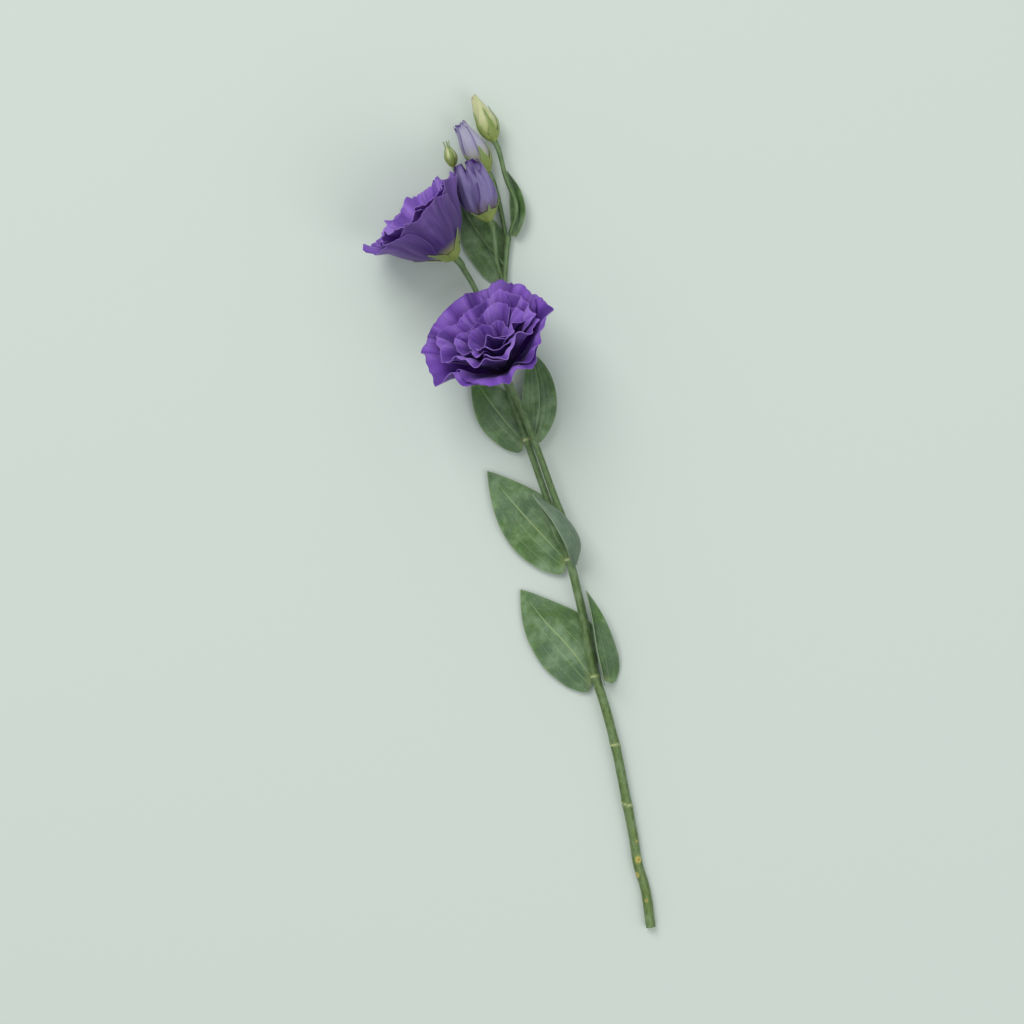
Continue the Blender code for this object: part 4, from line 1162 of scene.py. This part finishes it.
# %% Pistils and stamens
# Outlines of radius and height, in millimetres. height and apart: where a lobe or stamen stands
# along the axis and beside it. lean: how much it tips outwards.
OVARY = [(0.9, 3.4), (1.5, 5.0), (1.75, 8.0), (1.6, 11.0), (1.1, 14.0), (0.75, 16.0), (0.7, 18.5),
         (1.0, 19.4)]
STIGMA_LOBE = [(0.5, 0.0), (1.35, 0.8), (1.7, 1.9), (1.4, 2.9), (0.6, 3.4)]
STAMEN = [(0.18, 0.0), (0.18, 9.5), (0.5, 9.8), (0.62, 11.0), (0.5, 12.6), (0.2, 13.2)]
LOBE_HEIGHT, LOBE_APART, LOBE_LEAN = 18.6, 0.6, 0.55
STAMENS = 5
STAMEN_HEIGHT, STAMEN_APART, STAMEN_LEAN = 5, 1.5, 0.12


def grow_pistil(name, bloom):
    """Ovary, style, two-lobed stigma and five stamens."""
    base = np.array(bloom["base"])
    axis, first, second = frame_on(bloom["axis"])
    parts = [turned(base, axis, OVARY, 20)]
    for side in (-1, 1):
        lobe_base = base + axis * LOBE_HEIGHT + first * side * LOBE_APART
        lobe_axis = axis + LOBE_LEAN * side * first
        points, faces, uv, facts = turned(lobe_base, lobe_axis, STIGMA_LOBE, 16)
        parts.append((points, faces, uv + (0, 0.7), facts))
    for k in range(STAMENS):
        angle = 2 * math.pi * k / STAMENS
        ray = math.cos(angle) * first + math.sin(angle) * second
        stamen_base = base + axis * STAMEN_HEIGHT + STAMEN_APART * ray
        points, faces, uv, facts = turned(stamen_base, axis + STAMEN_LEAN * ray, STAMEN, 10)
        parts.append((points, faces, uv * (1, 2.6), facts))
    lay(name + "_pistil", stigma_gold, join_parts(parts))


grow_pistil("open_bloom", OPEN_BLOOM)
grow_pistil("side_bloom", SIDE_BLOOM)
print("pistils grown, with stamens each:", STAMENS)

# %% [markdown]
# ## Furled buds
#
# The opening bud is already violet, the lavender bud is pale with dusky margins, and the two
# youngest are cream and green. Their petals are drawn with the bud's own profile and twist.

# %% Bud finishes
opening_petal = petal_finish(
    "opening_petal", face=(0.16, 0.07, 0.36), back=(0.255, 0.220, 0.430),
    throat=(0.050, 0.020, 0.165), edge=(0.045, 0.012, 0.14), brim=(0.035, 0.010, 0.12),
    foot=(0.20, 0.17, 0.07), foot_reach=0.34, shade=0.2, rim=1.0, gloss=0.0)
lavender_petal = petal_finish(
    "lavender_petal", face=(0.34, 0.30, 0.55), back=(0.43, 0.42, 0.54),
    throat=(0.20, 0.16, 0.36), edge=(0.09, 0.06, 0.24), brim=(0.07, 0.045, 0.17),
    foot=(0.42, 0.46, 0.12), foot_reach=0.55, shade=0.1, rim=0.9, gloss=0.0)
cream_petal = petal_finish(
    "cream_petal", face=(0.60, 0.60, 0.36), back=(0.60, 0.62, 0.36),
    throat=(0.38, 0.44, 0.15), edge=(0.40, 0.33, 0.22), brim=(0.36, 0.32, 0.20),
    foot=(0.34, 0.42, 0.10), foot_reach=0.5, shade=0.1, rim=0.7, gloss=0.0)
BUD_FINISH = {"purple_bud": opening_petal, "lavender_bud": lavender_petal,
              "cream_bud": cream_petal, "small_bud": cream_petal}
print("bud finishes:", sorted({finish.name for finish in BUD_FINISH.values()}))

# %% One furled petal
BUD_PETALS = 5


def bud_radius(bud, share):
    """The bud's radius at shares of its length."""
    curve = smooth_points([(place * 30, radius) for place, radius in bud["profile"]], 160)
    return np.interp(share * 30, curve[:, 0], curve[:, 1])


def furled_petal(bud, petal, axis, length, seed):
    """One petal wrapped round the bud."""
    rng = np.random.default_rng(seed)
    share, across = sheet_map(56, 36)
    top = 1 - 0.07 * across ** 2 - 0.07 * rng.random() + bud["teeth"] * waves(across, rng, 6, 14, 3)
    along = np.clip(share * top, 0, 1)
    size = bud_radius(bud, along)
    half_angle = math.radians(38) + math.radians(34) * ease(along / 0.4)
    slope = 0.12 * size * across * ease(along / 0.25)
    ruffle = bud["teeth"] * 1.4 * size * waves(across + along, rng, 4, 9, 3) * ease((along - 0.5) / 0.5)
    bulge = 0.07 * size * np.cos(math.pi / 2 * across) * ease(along / 0.3)
    round_bud = 2 * math.pi * petal / BUD_PETALS + half_angle * across
    fold = np.sin(7 * round_bud + bud["twist"]) + 0.8 * np.sin(12 * round_bud + 3 * along)
    fold += 0.7 * np.sin(19 * round_bud + 11 * along) * ease((along - 0.3) / 0.5)
    fold *= bud["folds"] * size * ease(along / 0.3)
    radius = size * 0.89 + slope + ruffle + bulge + fold
    angle = round_bud + math.radians(bud["twist"]) * along
    grid = on_axis(bud["foot"], axis, angle, radius, along * length)
    sheet = thin_sheet(grid, PETAL_THICKNESS * MM, bud["margin"] * MM, face_first=False)
    # How deep each point lies in a fold, for the painted shade in the folds and painted highlight on the
    # bulges.
    swell = bulge / bulge.max() - 0.6 + 14 * fold / size.max()
    sheet[3]["valley"] = np.tile(0.5 + 0.5 * np.tanh(1.6 * swell), (2, 1)).ravel()
    return sheet


# %% One bud
BUD_SIDES = 24


def grow_bud(name, bud, seed):
    """Furled petals round a core, and sepals that hug them."""
    axis = np.subtract(bud["tip"], bud["foot"])
    length = np.linalg.norm(axis)
    core = [(0.7 * bud_radius(bud, place), place * length) for place in np.linspace(0.0, 0.86, 12)]
    parts = [turned(bud["foot"], axis, core, BUD_SIDES)]
    # The hidden core counts as deep in a fold, so it takes the painted fold shade.
    parts[0][3]["valley"] = np.ones(len(parts[0][0]))
    parts += [furled_petal(bud, petal, axis, length, seed + petal) for petal in range(BUD_PETALS)]
    lay(name + "_petals", BUD_FINISH[name], join_parts(parts))

    def hugging(height):
        """Radius just outside the furled petals."""
        return bud_radius(bud, np.clip(height / length, 0, 1)) * 1.07 + 0.25

    foot = bud["profile"][0][1]
    low, high = 0.07 * length, 0.13 * length
    cup = [(foot * 0.8, -1.3), (foot * 0.95, -0.6), (foot + 0.9, 0.4), (hugging(low) + 0.2, low),
           (hugging(high) + 0.1, high), (hugging(high) - 0.25, high), (foot + 0.2, 0.5), (foot * 0.5, 0.1)]
    parts = [turned(bud["foot"], axis, cup, BUD_SIDES)]
    half_width = bud["sepal_width"] * max(radius for _, radius in bud["profile"])
    for k in range(SEPALS):
        centre = 2 * math.pi * (k + 0.5) / SEPALS
        parts.append(sepal(bud["foot"], axis, centre, hugging, 0.04 * length, bud["sepals"] * length,
                           half_width, seed + 20 + k))
    lay(name + "_calyx", sepal_green, join_parts(parts))


for order, (name, bud) in enumerate(BUDS.items()):
    grow_bud(name, bud, 700 + 50 * order)
print("buds grown:", len(BUDS))
